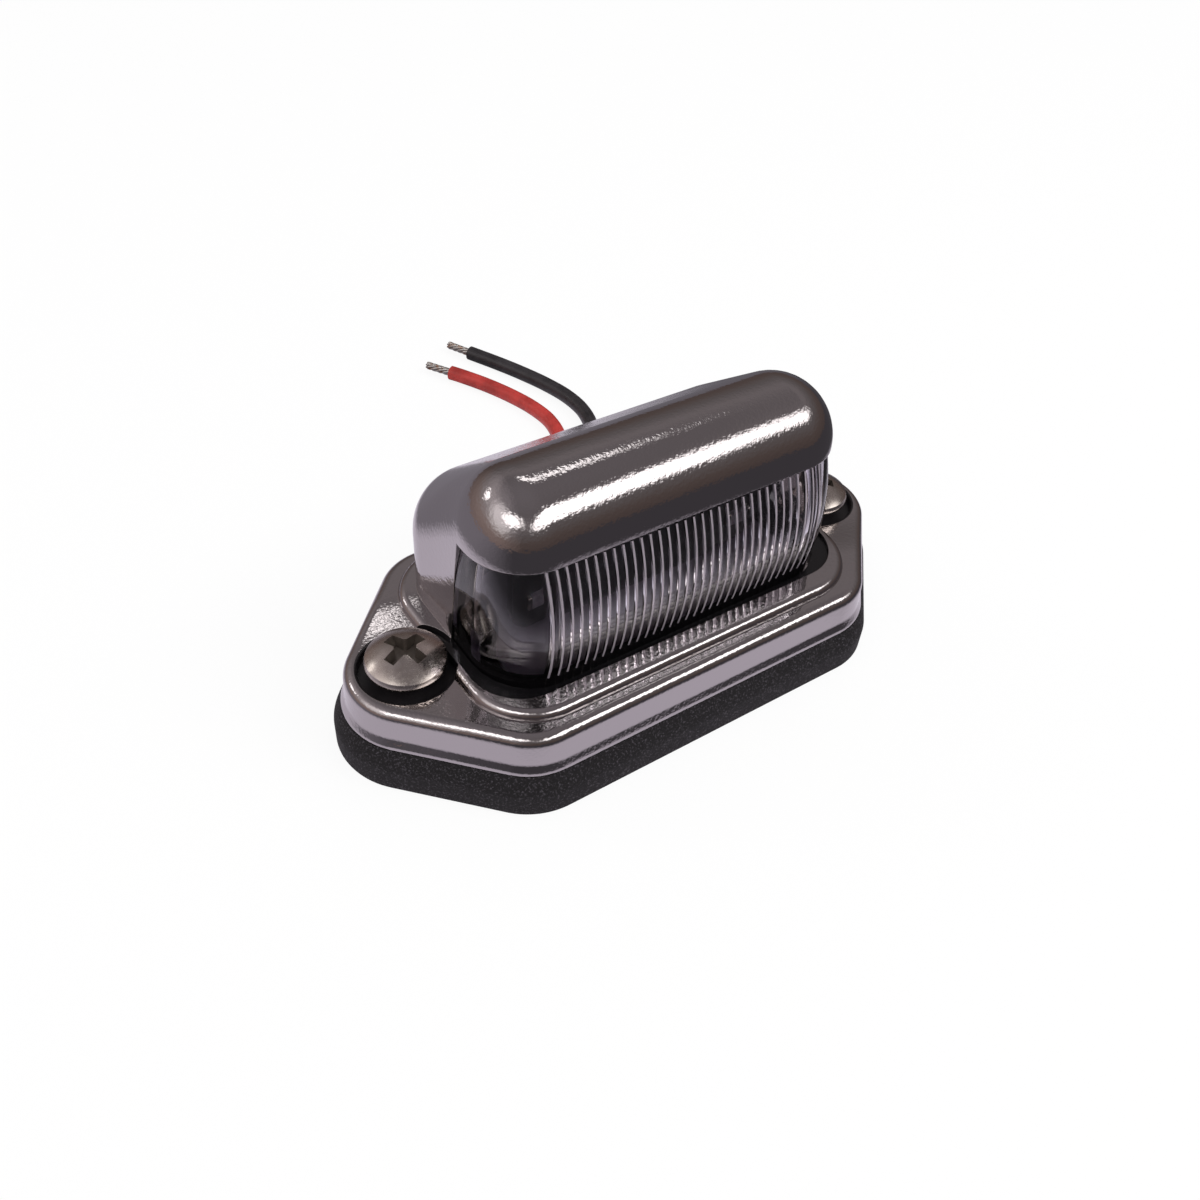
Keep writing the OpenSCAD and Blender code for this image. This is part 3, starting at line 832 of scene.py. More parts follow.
    def floor(self) -> None:
        """Lays the pale floor, whose far parts fade out of what the chrome mirrors."""
        half = self.floor_half
        flat = np.array([[-half, -half, 0], [half, -half, 0], [half, half, 0], [-half, half, 0]], float)
        made = new_object("floor", flat - [0, 0, 0.05], [(0, 1, 2, 3)])
        material = bpy.data.materials.new("pale_paper_floor")
        material.use_nodes = True
        tree = material.node_tree
        tree.nodes.clear()
        spot = add_node(tree, "ShaderNodeTexCoord").outputs["Object"]
        where = add_node(
            tree,
            "ShaderNodeVectorMath",
            {0: spot, 1: self.paper_stretch, 2: self.paper_shift},
            operation="MULTIPLY_ADD",
        ).outputs[0]
        reach = add_node(tree, "ShaderNodeVectorMath", {0: where}, operation="LENGTH").outputs["Value"]
        ahead = add_node(tree, "ShaderNodeVectorMath", {0: where}, operation="NORMALIZE").outputs[0]
        rear_left = add_node(
            tree, "ShaderNodeVectorMath", {0: ahead, 1: (-0.62, 0.78, 0.0)}, operation="DOT_PRODUCT"
        ).outputs["Value"]
        far = add_node(tree, "ShaderNodeMapRange", span(rear_left, -0.2, 0.9, 0.09, 0.33)).outputs["Result"]
        lit = add_node(
            tree, "ShaderNodeMapRange", span(reach, self.paper_near, 1.2, 1.0, 0.0)
        ).outputs["Result"]
        rest = add_node(
            tree, "ShaderNodeMath", {0: self.paper_near, 1: far}, operation="SUBTRACT"
        ).outputs[0]
        near = add_node(
            tree, "ShaderNodeMath", {0: lit, 1: rest, 2: far}, operation="MULTIPLY_ADD"
        ).outputs[0]
        path = add_node(tree, "ShaderNodeLightPath").outputs
        mirrored = add_node(
            tree,
            "ShaderNodeMath",
            {0: path["Is Glossy Ray"], 1: path["Is Transmission Ray"]},
            operation="ADD",
            use_clamp=True,
        ).outputs[0]
        dimmed = add_node(tree, "ShaderNodeMath", {0: mirrored, 1: near}, operation="MULTIPLY").outputs[0]
        glow = add_node(
            tree, "ShaderNodeMath", {0: path["Is Camera Ray"], 1: dimmed}, operation="ADD", use_clamp=True
        ).outputs[0]
        paper = add_node(tree, "ShaderNodeBsdfDiffuse", {"Color": linear("#f2f2f2")})
        tone = add_node(
            tree,
            "ShaderNodeValToRGB",
            {"Fac": path["Is Camera Ray"]},
            stops=[(0.0, "#efe7f4"), (1.0, "#ffffff")],
        ).outputs["Color"]
        white = add_node(tree, "ShaderNodeEmission", {"Color": tone, "Strength": glow})
        share = add_node(
            tree,
            "ShaderNodeMath",
            {0: path["Is Camera Ray"], 1: 0.9, 2: mirrored},
            operation="MULTIPLY_ADD",
            use_clamp=True,
        ).outputs[0]
        mixed = add_node(tree, "ShaderNodeMixShader", {0: share, 1: paper.outputs[0], 2: white.outputs[0]})
        add_node(tree, "ShaderNodeOutputMaterial", {"Surface": mixed.outputs[0]})
        wear(made, material)

    def light(self) -> None:
        """Sets the surroundings, the floor and the lamps."""
        self.surroundings()
        self.floor()
        for softbox in LIGHTING:
            self.lamp(softbox)


# The lamp's own sizes, as in the CAD source


@dataclass
class Sizes:
    """The sizes that several pieces share, in millimetres."""

    body_len: float = 65
    body_wid: float = 31
    side_half: float = 17.5
    corner_r: float = 7
    tip_r: float = 7.3
    base_z: float = 4.6
    top_z: float = 9.2
    plate_z: float = 7.4
    bead_z: float = 10.1
    pocket_z: float = 8.6
    lip_z: float = 23.3
    edge_foot: float = 0.4
    edge_lean: float = 1.7
    hood_half: float = 20.9
    hood_wall: float = 1.4
    screw_x: float = 26
    recess_z: float = 8.2
    recess_d: float = 9.4
    hole_d: float = 4.8
    boss_d: float = 8.4

    def corners(self) -> list[tuple[float, float, float]]:
        """Gives the base's six corner circles, each as centre and radius."""
        tip = self.body_len / 2 - self.tip_r
        side = self.body_wid / 2 - self.corner_r
        return [
            (tip, 0, self.tip_r),
            (self.side_half, side, self.corner_r),
            (-self.side_half, side, self.corner_r),
            (-tip, 0, self.tip_r),
            (-self.side_half, -side, self.corner_r),
            (self.side_half, -side, self.corner_r),
        ]

    def base_outline(self, inset: float, steps: int = 24) -> Ring:
        """Gives the base's outline.

        Args:
            inset: How far it is moved inwards.
            steps: Steps on each corner.

        Returns:
            Points in X and Y, anticlockwise.
        """
        circles = self.corners()
        runs = []
        for i, here in enumerate(circles):
            start = facing(circles[i - 1], here)
            end = facing(here, circles[(i + 1) % len(circles)])
            if end < start:
                end += 360
            runs.append(arc(here[0], here[1], here[2] - inset, start, end, steps))
        return np.vstack(runs)

    def edge_y(self, z: float) -> float:
        """Gives the place of the hood's end walls' front edge at a height."""
        rise = max(z, self.bead_z) - self.bead_z
        return self.edge_foot - self.edge_lean * rise / (self.lip_z - self.bead_z)


def facing(a: Sequence[float], b: Sequence[float]) -> float:
    """Gives the direction in degrees that a line touching two circles faces."""
    dx, dy = b[0] - a[0], b[1] - a[1]
    return math.degrees(math.atan2(dy, dx) + math.asin((a[2] - b[2]) / math.hypot(dx, dy))) - 90


def round_box(half: float, y0: float, y1: float, radius: float, inset: float = 0, steps: int = 16) -> Ring:
    """Gives a rounded rectangle, anticlockwise from its right rear corner."""
    r = max(radius - inset, 0.001)
    return np.vstack(
        [
            arc(half - radius, y1 - radius, r, 0, 90, steps),
            arc(radius - half, y1 - radius, r, 90, 180, steps),
            arc(radius - half, y0 + radius, r, 180, 270, steps),
            arc(half - radius, y0 + radius, r, 270, 360, steps),
        ]
    )


@dataclass
class Housing:
    """The chromed moulding: base, bead and barrel-shaped hood."""

    sizes: Sizes
    lip_h: float = 0.6
    lip_out: float = 0.4
    skirt_in: float = 0.5
    skirt_wall: float = 1.5
    shoulder_r: float = 1.2
    bead_half: float = 22.9
    bead_front: float = 13.1
    bead_rear: float = 13.4
    bead_r: float = 7.2
    bead_edge: float = 0.9
    ridge_w: float = 0.45
    ridge_h: float = 0.14
    hood_front: float = 8.7
    hood_rear: float = 12.3
    crown_r: float = 6.5
    rear_r: float = 7
    rear_drop: float = 6.3
    end_r: float = 6.1
    pocket_half: float = 21.9
    pocket_front: float = 10.6
    pocket_r: float = 5.4
    well_half: float = 17.4
    well_front: float = 7
    well_rear: float = 9
    well_r: float = 2.5
    steps: int = 14

    def base(self) -> bpy.types.Object:
        """Builds the foot lip, the skirt and the rounded shoulder."""
        s = self.sizes
        lip = [
            (0.12, s.base_z),
            (0.03, s.base_z + 0.05),
            (0.0, s.base_z + 0.14),
            (0.0, s.base_z + self.lip_h * 0.7),
            (0.05, s.base_z + self.lip_h * 0.9),
            (self.lip_out * 0.35, s.base_z + self.lip_h * 1.3),
            (self.lip_out * 0.75, s.base_z + self.lip_h * 1.9),
            (self.lip_out, s.base_z + self.lip_h * 2.4),
        ]
        rings = [at_height(s.base_outline(inset), z) for inset, z in lip]
        for k in range(self.steps + 1):
            a = math.radians(90 * k / self.steps)
            inset = self.skirt_in + self.shoulder_r * (1 - math.cos(a))
            rings.append(at_height(s.base_outline(inset), s.top_z - self.shoulder_r * (1 - math.sin(a))))
        return skin("base", rings)

    def bead(self) -> bpy.types.Object:
        """Builds the raised bead, rounded on its outer edge."""
        s = self.sizes
        rise = s.bead_z - s.top_z
        foot = round_box(self.bead_half, -self.bead_front, self.bead_rear, self.bead_r)
        rings = [at_height(foot, s.top_z - OVER)]
        for k in range(self.steps + 1):
            a = math.radians(90 * k / self.steps)
            inset = self.bead_edge * (1 - math.cos(a))
            flat = round_box(self.bead_half, -self.bead_front, self.bead_rear, self.bead_r, inset)
            rings.append(at_height(flat, s.bead_z - rise * (1 - math.sin(a))))
        return skin("bead", rings)

    def section(self, inset: float, foot_z: float) -> Ring:
        """Gives the hood's upright section in Y and Z, from its rear foot over the top to its front foot.

        Args:
            inset: How far it is moved inwards.
            foot_z: Height of its foot.

        Returns:
            Points in Y and Z.
        """
        crown = (self.crown_r - self.hood_front, self.sizes.lip_z, self.crown_r)
        shoulder = (self.hood_rear - self.rear_r, self.sizes.lip_z - self.rear_drop, self.rear_r)
        turn = facing(shoulder, crown)
        return np.vstack(
            [
                [[shoulder[0] + shoulder[2] - inset, foot_z]],
                arc(shoulder[0], shoulder[1], shoulder[2] - inset, 0, turn, self.steps),
                arc(crown[0], crown[1], crown[2] - inset, turn, 180, 3 * self.steps),
                [[crown[0] - crown[2] + inset, foot_z]],
            ]
        )

    def hood(self, inset: float, foot_z: float) -> bpy.types.Object:
        """Builds the barrel with its rounded ends, moved inwards by inset."""
        s = self.sizes
        radius = self.end_r - inset
        straight = s.hood_half - self.end_r
        rings = []
        for side in (-1, 1):
            for k in range(self.steps + 1):
                a = math.radians(90 * (1 - k / self.steps if side < 0 else k / self.steps))
                flat = self.section(inset + radius * (1 - math.cos(a)), foot_z)
                x = side * (straight + radius * math.sin(a))
                rings.append(np.column_stack([np.full(len(flat), x), flat]))
        return skin("hood", rings)

    def window(self) -> bpy.types.Object:
        """Builds what is cut away in front of the end walls and below the lip."""
        s = self.sizes
        profile = np.array(
            [
                [s.edge_foot, s.bead_z],
                [s.edge_y(s.lip_z), s.lip_z],
                [-s.body_wid, s.lip_z],
                [-s.body_wid, s.bead_z],
            ]
        )
        half = s.body_len / 2
        return skin("window", [np.column_stack([np.full(4, x), profile]) for x in (-half, half)])

    def around_pocket(self, name: str, levels: Sequence[tuple[float, float]]) -> bpy.types.Object:
        """Builds a body that follows the pocket's outline.

        Args:
            name: Name of the object.
            levels: How far each ring lies outside the pocket's outline, and its height.

        Returns:
            The body.
        """
        rings = []
        for out, z in levels:
            r = self.pocket_r + out
            half = self.pocket_half + out
            front = self.pocket_front + out
            flat = np.vstack(
                [
                    [[-half, self.sizes.edge_foot]],
                    arc(r - half, r - front, r, 180, 270, 20),
                    arc(half - r, r - front, r, 270, 360, 20),
                    [[half, self.sizes.edge_foot]],
                ]
            )
            rings.append(at_height(flat, z))
        return skin(name, rings)

    def ridge(self) -> bpy.types.Object:
        """Builds the narrow rounded ridge that runs beside the pocket."""
        top = self.sizes.bead_z
        turns = [math.radians(15 * k) for k in range(7)]
        levels = [(self.ridge_w, top - 0.3)]
        for a in turns:
            levels.append((self.ridge_w * (0.6 + 0.4 * math.cos(a)), top + self.ridge_h * math.sin(a)))
        return self.around_pocket("ridge", levels)

    def pocket(self) -> bpy.types.Object:
        """Builds the lens's pocket, whose upper edge rounds into the ridge."""
        s = self.sizes
        top = s.bead_z + self.ridge_h
        reach = self.ridge_w * 0.5
        turns = [math.radians(15 * k) for k in range(7)]
        levels = [(0.0, s.pocket_z)]
        levels += [(reach * (1 - math.cos(a)), top - 0.2 * (1 - math.sin(a))) for a in turns]
        levels.append((reach, s.bead_z + 0.5))
        return self.around_pocket("pocket", levels)

    def build(self, chrome: bpy.types.Material, unplated_and_recess_shadow: bpy.types.Material) -> bpy.types.Object:
        """Builds the moulding and dresses it.

        Args:
            chrome: Finish of its outside.
            unplated_and_recess_shadow: Black finish of the inside, where no plating reached; in the screw
                recesses it is painted shadow under the heads.

        Returns:
            The housing.
        """
        s = self.sizes
        made = wear(self.base(), chrome)
        combine(made, self.bead(), Merge.JOIN)
        combine(made, self.ridge(), Merge.JOIN)
        combine(made, self.hood(0, s.plate_z + OVER), Merge.JOIN)
        under = s.base_outline(self.skirt_in + self.skirt_wall)
        hollow = skin("hollow", [at_height(under, s.base_z - OVER), at_height(under, s.plate_z)])
        combine(made, wear(hollow, unplated_and_recess_shadow), Merge.CUT)
        combine(made, wear(self.hood(s.hood_wall, s.pocket_z), unplated_and_recess_shadow), Merge.CUT)
        combine(made, self.window(), Merge.CUT)
        combine(made, self.pocket(), Merge.CUT)
        well = round_box(self.well_half, -self.well_front, self.well_rear, self.well_r)
        shaft = skin("well", [at_height(well, s.plate_z - OVER), at_height(well, s.pocket_z + OVER)])
        combine(made, shaft, Merge.CUT)
        for side in (-1, 1):
            spot = (side * s.screw_x, 0, 0)
            boss = np.array([[s.boss_d / 2, s.base_z], [s.boss_d / 2, s.plate_z + OVER]])
            combine(made, revolve("boss", boss, 96, spot), Merge.JOIN)
            rim = s.recess_d / 2
            recess = [[rim, s.recess_z], [rim, s.top_z - 0.3]]
            for k in range(1, 7):
                a = math.radians(15 * k)
                recess.append([rim + 0.3 * (1 - math.cos(a)), s.top_z - 0.3 * (1 - math.sin(a))])
            recess.append([rim + 0.3, s.bead_z + 0.4])
            # The recess walls wear the black finish as painted shadow under the screw head
            combine(made, wear(revolve("recess", np.array(recess), 128, spot), unplated_and_recess_shadow), Merge.CUT)
            hole = np.array([[s.hole_d / 2, s.base_z - OVER], [s.hole_d / 2, s.top_z]])
            combine(made, revolve("hole", hole, 96, spot), Merge.CUT)
        shade(made)
        made.name = "chromed_housing"
        return mount(made, "chrome_plating", "housing")


# Places of the points across one rib, as shares of half its width
RIB_SHARES = (-1.0, -0.8, -0.6, -0.4, -0.2, 0.0, 0.2, 0.4, 0.6, 0.8, 1.0)
# Faces across one rib that wear the painted highlight of its crest
RIB_CREST = range(2, 8)


@dataclass
class Lens:
    """The clear moulding: bulging front, rounded ends and upright ribs."""

    sizes: Sizes
    half: float = 20.3
    front: float = 8.4
    corner_r: float = 5.6
    bulge: float = 1.7
    end_bulge: float = 0.6
    bulge_at: float = 0.4
    bow: float = 0.2
    wall: float = 1.6
    ribs: int = 33
    pitch: float = 1.0
    rib_w: float = 0.4
    rib_h: float = 0.2
    tongue_w: float = 1.5
    post_d: float = 2.0
    post_h: float = 5.4
    gap: float = 0.1
    rings: int = 40
    sealed_rings: int = 3
    corner_steps: int = 20

    def axes(self, z: float, inset: float) -> tuple[float, float]:
        """Gives the half axes of the oval corners.

        Args:
            z: Height.
            inset: How far the outline is moved inwards.

        Returns:
            Half axes along X and along Y.
        """
        s = self.sizes
        middle = s.bead_z + self.bulge_at * (s.lip_z - s.bead_z)
        full = 1 - ((max(z, s.bead_z) - middle) / (s.lip_z - middle)) ** 2
        return self.corner_r + self.end_bulge * full - inset, self.corner_r + self.bulge * full - inset

    @property
    def reach(self) -> float:
        """Half the width that the ribs take."""
        return (self.ribs - 1) / 2 * self.pitch + self.rib_w / 2

    @property
    def centre(self) -> tuple[float, float]:
        """Centre of the right corner, seen from above."""
        return self.half - self.corner_r, self.corner_r - self.front

    def face(self, x: float, axes: tuple[float, float]) -> float:
        """Gives the place of the front at x, for a corner's half axes."""
        cx, cy = self.centre
        past = max(0.0, abs(x) - cx) / axes[0]
        return cy - axes[1] * math.sqrt(1 - past * past) - self.bow * (1 - (x / self.reach) ** 2)

    def front_points(self, axes: tuple[float, float], ribbed: bool) -> list[tuple[float, float]]:
        """Gives the front's points from left to right, with or without the ribs."""
        found = []
        shares = RIB_SHARES if ribbed else (-1.0, 0.0, 1.0)
        for i in range(self.ribs):
            middle = (i - (self.ribs - 1) / 2) * self.pitch
            for t in shares:
                x = middle + t * self.rib_w / 2
                rise = self.rib_h * math.cos(t * math.pi / 2) if ribbed else 0.0
                found.append((x, self.face(x, axes) - rise))
        return found

    def ring(self, z: float) -> Ring:
        """Gives the closed strip between outside and inside at a height."""
        s = self.sizes
        cx, cy = self.centre
        edge = s.edge_y(z)
        outer, inner = self.axes(z, 0), self.axes(z, self.wall)
        xt = s.hood_half - s.hood_wall - 3 * self.gap
        end = cx + outer[0]
        outside = [(-xt, edge + self.tongue_w), (-xt, edge - self.gap), (-end, edge - self.gap)]
        inside = [(-(xt - self.tongue_w), edge + self.tongue_w)]
        for axes, run, ribbed in ((outer, outside, True), (inner, inside, False)):
            turn = math.degrees(math.acos((self.reach - cx) / axes[0]))
            left = arc(0, 0, 1, 180, 180 + turn, self.corner_steps)[:-1]
            right = arc(0, 0, 1, 360 - turn, 360, self.corner_steps)[1:]
            run.extend(map(tuple, left * axes + [-cx, cy]))
            run.extend(self.front_points(axes, ribbed))
            run.extend(map(tuple, right * axes + [cx, cy]))
        outside += [(end, edge - self.gap), (xt, edge - self.gap), (xt, edge + self.tongue_w)]
        inside.append((xt - self.tongue_w, edge + self.tongue_w))
        return at_height(np.array(outside + inside[::-1]), z)

    def build(
        self, plastic: bpy.types.Material, crest_highlight: bpy.types.Material, sealant: bpy.types.Material
    ) -> bpy.types.Object:
        """Builds the lens and dresses it.

        Args:
            plastic: Finish of the lens.
            crest_highlight: Paler finish of its rib crests, a painted highlight.
            sealant: Finish of its foot, where the sealant was pressed up against it.

        Returns:
            The lens.
        """
        s = self.sizes
        top = s.lip_z - self.gap
        heights = [s.pocket_z, *np.linspace(s.bead_z, top, self.rings)]
        made = skin("lens_wall", [self.ring(z) for z in heights])
        made.data.materials.append(plastic)
        made.data.materials.append(crest_highlight)
        made.data.materials.append(sealant)
        count = len(self.ring(top))
        # Three points of the tongue and the left corner come before the ribs
        first, each = 3 + self.corner_steps, len(RIB_SHARES)
        # The lowest rings wear the sealant; the rib crests wear a paler finish as a painted highlight
        for face in made.data.polygons[: count * (len(heights) - 1)]:
            along = face.index % count - first
            if face.index // count < self.sealed_rings:
                face.material_index = 2
            elif 0 <= along < each * self.ribs and along % each in RIB_CREST:
                face.material_index = 1
        cy = self.centre[1]
        for side in (-1, 1):
            r, end = self.post_d / 2, s.pocket_z + self.post_h
            post = [[r, s.pocket_z], [r, end - 0.25]]
            post += [[r - 0.25 * (1 - math.cos(a)), end - 0.25 * (1 - math.sin(a))] for a in (0.5, 1.0, 1.57)]
            spot = (side * (self.half - self.wall), cy, 0)
            combine(made, revolve("post", np.array(post), 40, spot), Merge.JOIN)
        shade(made, 50)
        made.name = "ribbed_lens"
        return mount(made, "clear_lens", "lens")


@dataclass
class Screw:
    """A pan-head screw with a cross recess and a cut thread."""

    name: str
    node: str
    x: float
    turn: float
    head_z: float = 9.8
    head_d: float = 8.0
    head_h: float = 2.1
    rim: float = 0.7
    thread_d: float = 4.2
    thread_len: float = 9.6
    thread_pitch: float = 1.4
    cross_span: float = 5.0
    cross_w: float = 1.3
    cross_deep: float = 1.5

    def head(self) -> bpy.types.Object:
        """Builds the domed head with rounded rims."""
        dome = self.head_h - self.rim
        radius = (self.head_d**2 / 4 + dome**2) / (2 * dome)
        wide = math.asin(self.head_d / 2 / radius)
        profile = [[self.thread_d / 2 - 0.3, 0.0], [self.head_d / 2 - 0.35, 0.0]]
        for a in np.radians([20, 45, 70, 90]):
            profile.append([self.head_d / 2 - 0.2 + 0.2 * math.sin(a), 0.2 - 0.2 * math.cos(a)])
        profile += [[self.head_d / 2, self.rim - 0.25]]
        for k in range(25):
            a = wide * (1 - k / 24)
            r, z = radius * math.sin(a), self.head_h - radius * (1 - math.cos(a))
            profile.append([min(r, self.head_d / 2 - 0.12 * max(0.0, 1 - k / 3)), z])
        return revolve("head", np.array(profile), 96, (0, 0, self.head_z))

    def cross(self) -> bpy.types.Object:
        """Builds the tapered cross that is pressed into the head."""
        top, low = self.head_z + self.head_h + OVER, self.head_z + self.head_h - self.cross_deep
        a, w = self.cross_span / 2, self.cross_w / 2
        f = 0.25
        cross = np.array(
            [
                [a, -w], [a, w], [w + f, w], [w, w + f], [w, a], [-w, a], [-w, w + f], [-w - f, w],
                [-a, w], [-a, -w], [-w - f, -w], [-w, -w - f], [-w, -a], [w, -a], [w, -w - f], [w + f, -w],
            ]
        )
        small = cross * np.where(np.abs(cross) > self.cross_w, 0.68, 0.8)
        return skin("cross", [at_height(small, low), at_height(cross, top)])

    def thread(self) -> bpy.types.Object:
        """Builds the helical thread down to its point."""
        steps, fine = 40, 14
        turn = np.linspace(0, 2 * np.pi, steps, endpoint=False)
        rings = []
        count = int(self.thread_len / self.thread_pitch * fine)
        for k in range(count + 1):
            z = -self.thread_len + self.thread_len * k / count
            point = min(1.0, (z + self.thread_len) / (self.thread_d * 0.6))
            fade = min(1.0, max(0.0, -z / 1.2))
            wave = np.abs(((z / self.thread_pitch - turn / (2 * np.pi)) % 1) - 0.5) * 2
            crest = np.clip((wave - 0.35) / 0.5, 0, 1) * 0.55 * fade
            radius = (self.thread_d / 2 - 0.55 * fade + crest) * max(point, 0.02)
            flat = np.column_stack([np.cos(turn) * radius, np.sin(turn) * radius])
            rings.append(at_height(flat, self.head_z + z))
        return skin("thread", rings)

    def build(self, steel: bpy.types.Material, recess_painted_shade: bpy.types.Material) -> bpy.types.Object:
        """Builds the screw and dresses it.

        Args:
            steel: Finish of the screw.
            recess_painted_shade: Dull dark brown painted shade on the walls of the cross recess.

        Returns:
            The screw.
        """
        head = wear(self.head(), steel)
        combine(head, wear(self.cross(), recess_painted_shade), Merge.CUT)
        soften(head, 0.09, 50)
        made = joined(self.name, [head, wear(self.thread(), steel)])
        made.data.transform(
            Matrix.Translation((self.x * MM, 0, 0)) @ Matrix.Rotation(math.radians(self.turn), 4, "Z")
        )
        shade(made, 38)
        return mount(made, "screw_steel", self.node)


@dataclass
class Gasket:
    """The foam pad under the housing."""

    sizes: Sizes
    out: float = 0.9
    bevel: float = 2.2
    open_half: float = 17.0
    open_side: float = 9.0
    open_r: float = 4.0
    hole_d: float = 5.4
    groove_w: float = 2.4
    leads: tuple[float, ...] = (5.0, 9.0)

    def build(self, foam: bpy.types.Material) -> bpy.types.Object:
        """Builds the pad with its openings and lead grooves.

        Args:
            foam: Finish of the pad.

        Returns:
            The pad.
        """
        s = self.sizes
        shoulder = s.base_z - self.bevel
        levels = [(0.2, 0.0), (0.06, 0.06), (0.0, 0.2), (0.0, shoulder)]
        levels += [(self.out * t * t, shoulder + self.bevel * t ** 1.3) for t in np.linspace(0.15, 1, 8)]
        made = skin("pad", [at_height(s.base_outline(inset - self.out), z) for inset, z in levels])
        hole = round_box(self.open_half, -self.open_side, self.open_side, self.open_r)
        combine(made, skin("opening", [at_height(hole, -OVER), at_height(hole, s.base_z + OVER)]), Merge.CUT)
        for side in (-1, 1):
            bore = np.array([[self.hole_d / 2, -OVER], [self.hole_d / 2, s.base_z + OVER]])
            combine(made, revolve("bore", bore, 64, (side * s.screw_x, 0, 0)), Merge.CUT)
        for x in self.leads:
            low = (x - self.groove_w / 2, 0, -OVER)
            high = (x + self.groove_w / 2, s.body_wid, self.groove_w)
            combine(made, box("groove", low, high), Merge.CUT)
        shade(made, 40)
        made.name = "foam_gasket"
        wear(made, foam)
        return mount(made, "foam_black", "gasket")


class WireColour(Enum):
    """The two insulation colours, each with its light and deep tone."""

    RED = ("#b5352f", "#8e231d")
    BLACK = ("#2b282b", "#171518")


@dataclass
class Lead:
    """One insulated lead with its stripped and tinned end."""

    name: str
    colour: WireColour
    route: tuple[tuple[float, float, float], ...]
    tip: tuple[tuple[float, float, float], ...]
    diameter: float = 2.0
    tip_d: float = 1.1
    fine: int = 10

    def smooth_route(self) -> np.ndarray:
        """Gives close points on one smooth curve through the route."""
        p = np.array(self.route, float)
        p = np.vstack([2 * p[0] - p[1], p, 2 * p[-1] - p[-2]])
        found = []
        for i in range(1, len(p) - 2):
            for t in np.linspace(0, 1, self.fine, endpoint=False):
                a, b, c, d = p[i - 1], p[i], p[i + 1], p[i + 2]
                found.append(
                    0.5
                    * (
                        2 * b
                        + (c - a) * t
                        + (2 * a - 5 * b + 4 * c - d) * t * t
                        + (3 * b - a - 3 * c + d) * t**3
                    )
                )
        found.append(p[-2])
        return np.array(found)

    def strands(self, metal: bpy.types.Material) -> bpy.types.Object:
        """Builds the twisted strands of the stripped end."""
        start, end = (np.array(v, float) for v in self.tip)
        along = (end - start) / np.linalg.norm(end - start)
        side = np.cross(along, [0, 0, 1])
        side /= np.linalg.norm(side)
        up = np.cross(side, along)
        strand = self.tip_d / 6
        parts = []
        for k in range(7):
            offset = 0.0 if k == 0 else self.tip_d / 2 - strand
            rings = []
            for t in np.linspace(0, 1, 24):
                a = math.radians(60 * k + 260 * t)
                middle = start + (end - start) * t + (side * math.cos(a) + up * math.sin(a)) * offset
                r = strand * (1.0 if t < 0.97 else 0.7)
                turn = np.radians(np.arange(10) * 36)
                rings.append(middle + np.outer(np.cos(turn), side) * r + np.outer(np.sin(turn), up) * r)
            parts.append(skin("strand", [ring[::-1] for ring in rings]))
        made = joined(f"{self.name}_strands", parts)
        wear(made, metal)
        return mount(made, "tinned_copper", f"{self.name}_tip")

    def build(self, metal: bpy.types.Material) -> bpy.types.Object:
        """Builds the lead along its route, with its strands.

        Args:
            metal: Finish of the strands.

        Returns:
            The lead.
        """
        points = self.smooth_route() * MM
        curve = bpy.data.curves.new(f"{self.name}_insulation", "CURVE")
        curve.dimensions = "3D"
        curve.bevel_depth = self.diameter / 2 * MM
        curve.bevel_resolution = 6
        curve.use_fill_caps = True
        line = curve.splines.new("POLY")
        line.points.add(len(points) - 1)
        line.points.foreach_set("co", np.column_stack([points, np.ones(len(points))]).ravel())
        made = bpy.data.objects.new(f"{self.name}_insulation", curve)
        bpy.context.scene.collection.objects.link(made)
        light, deep = self.colour.value
        finish = WireInsulation(name=f"extruded_{self.colour.name.lower()}_pvc", colour=light, deep=deep)
        curve.materials.append(finish.build())
        strands = self.strands(metal)
        slot = "wire_red" if self.colour is WireColour.RED else "wire_black"
        mount(made, slot, self.name)
        return made


RED_ROUTE = (
    (5, 2, 6.2), (5, 2, 5.4), (5, 2.4, 3.8), (5, 3.5, 2.3), (5, 5, 1.3), (5, 7, 1), (5, 10, 1),
    (5, 14, 1), (5.1, 18, 1), (6.4, 22, 1), (8.6, 26, 1), (11.4, 30, 1), (13.6, 34, 1),
    (14.6, 38, 1), (14.3, 42, 1), (13.2, 46, 1), (11.6, 50, 1), (9.8, 53.5, 1), (8.8, 55.2, 1),
)
BLACK_ROUTE = (
    (9, 2, 6.2), (9, 2, 5.4), (9, 2.4, 3.8), (9, 3.5, 2.3), (9, 5, 1.3), (9, 7, 1), (9, 10, 1),
    (9, 14, 1), (9.1, 18, 1), (11, 22, 1), (13.8, 26, 1), (16.6, 30, 1), (18.8, 34, 1),
    (20, 38, 1), (20, 42, 1), (19.1, 46, 1), (17.7, 50, 1), (16, 54, 1), (13.8, 58.6, 1),
)
RED_TIP = ((8.8, 55.2, 1), (6.8, 58.6, 1))
BLACK_TIP = ((13.8, 58.6, 1), (12.15, 62.05, 1))


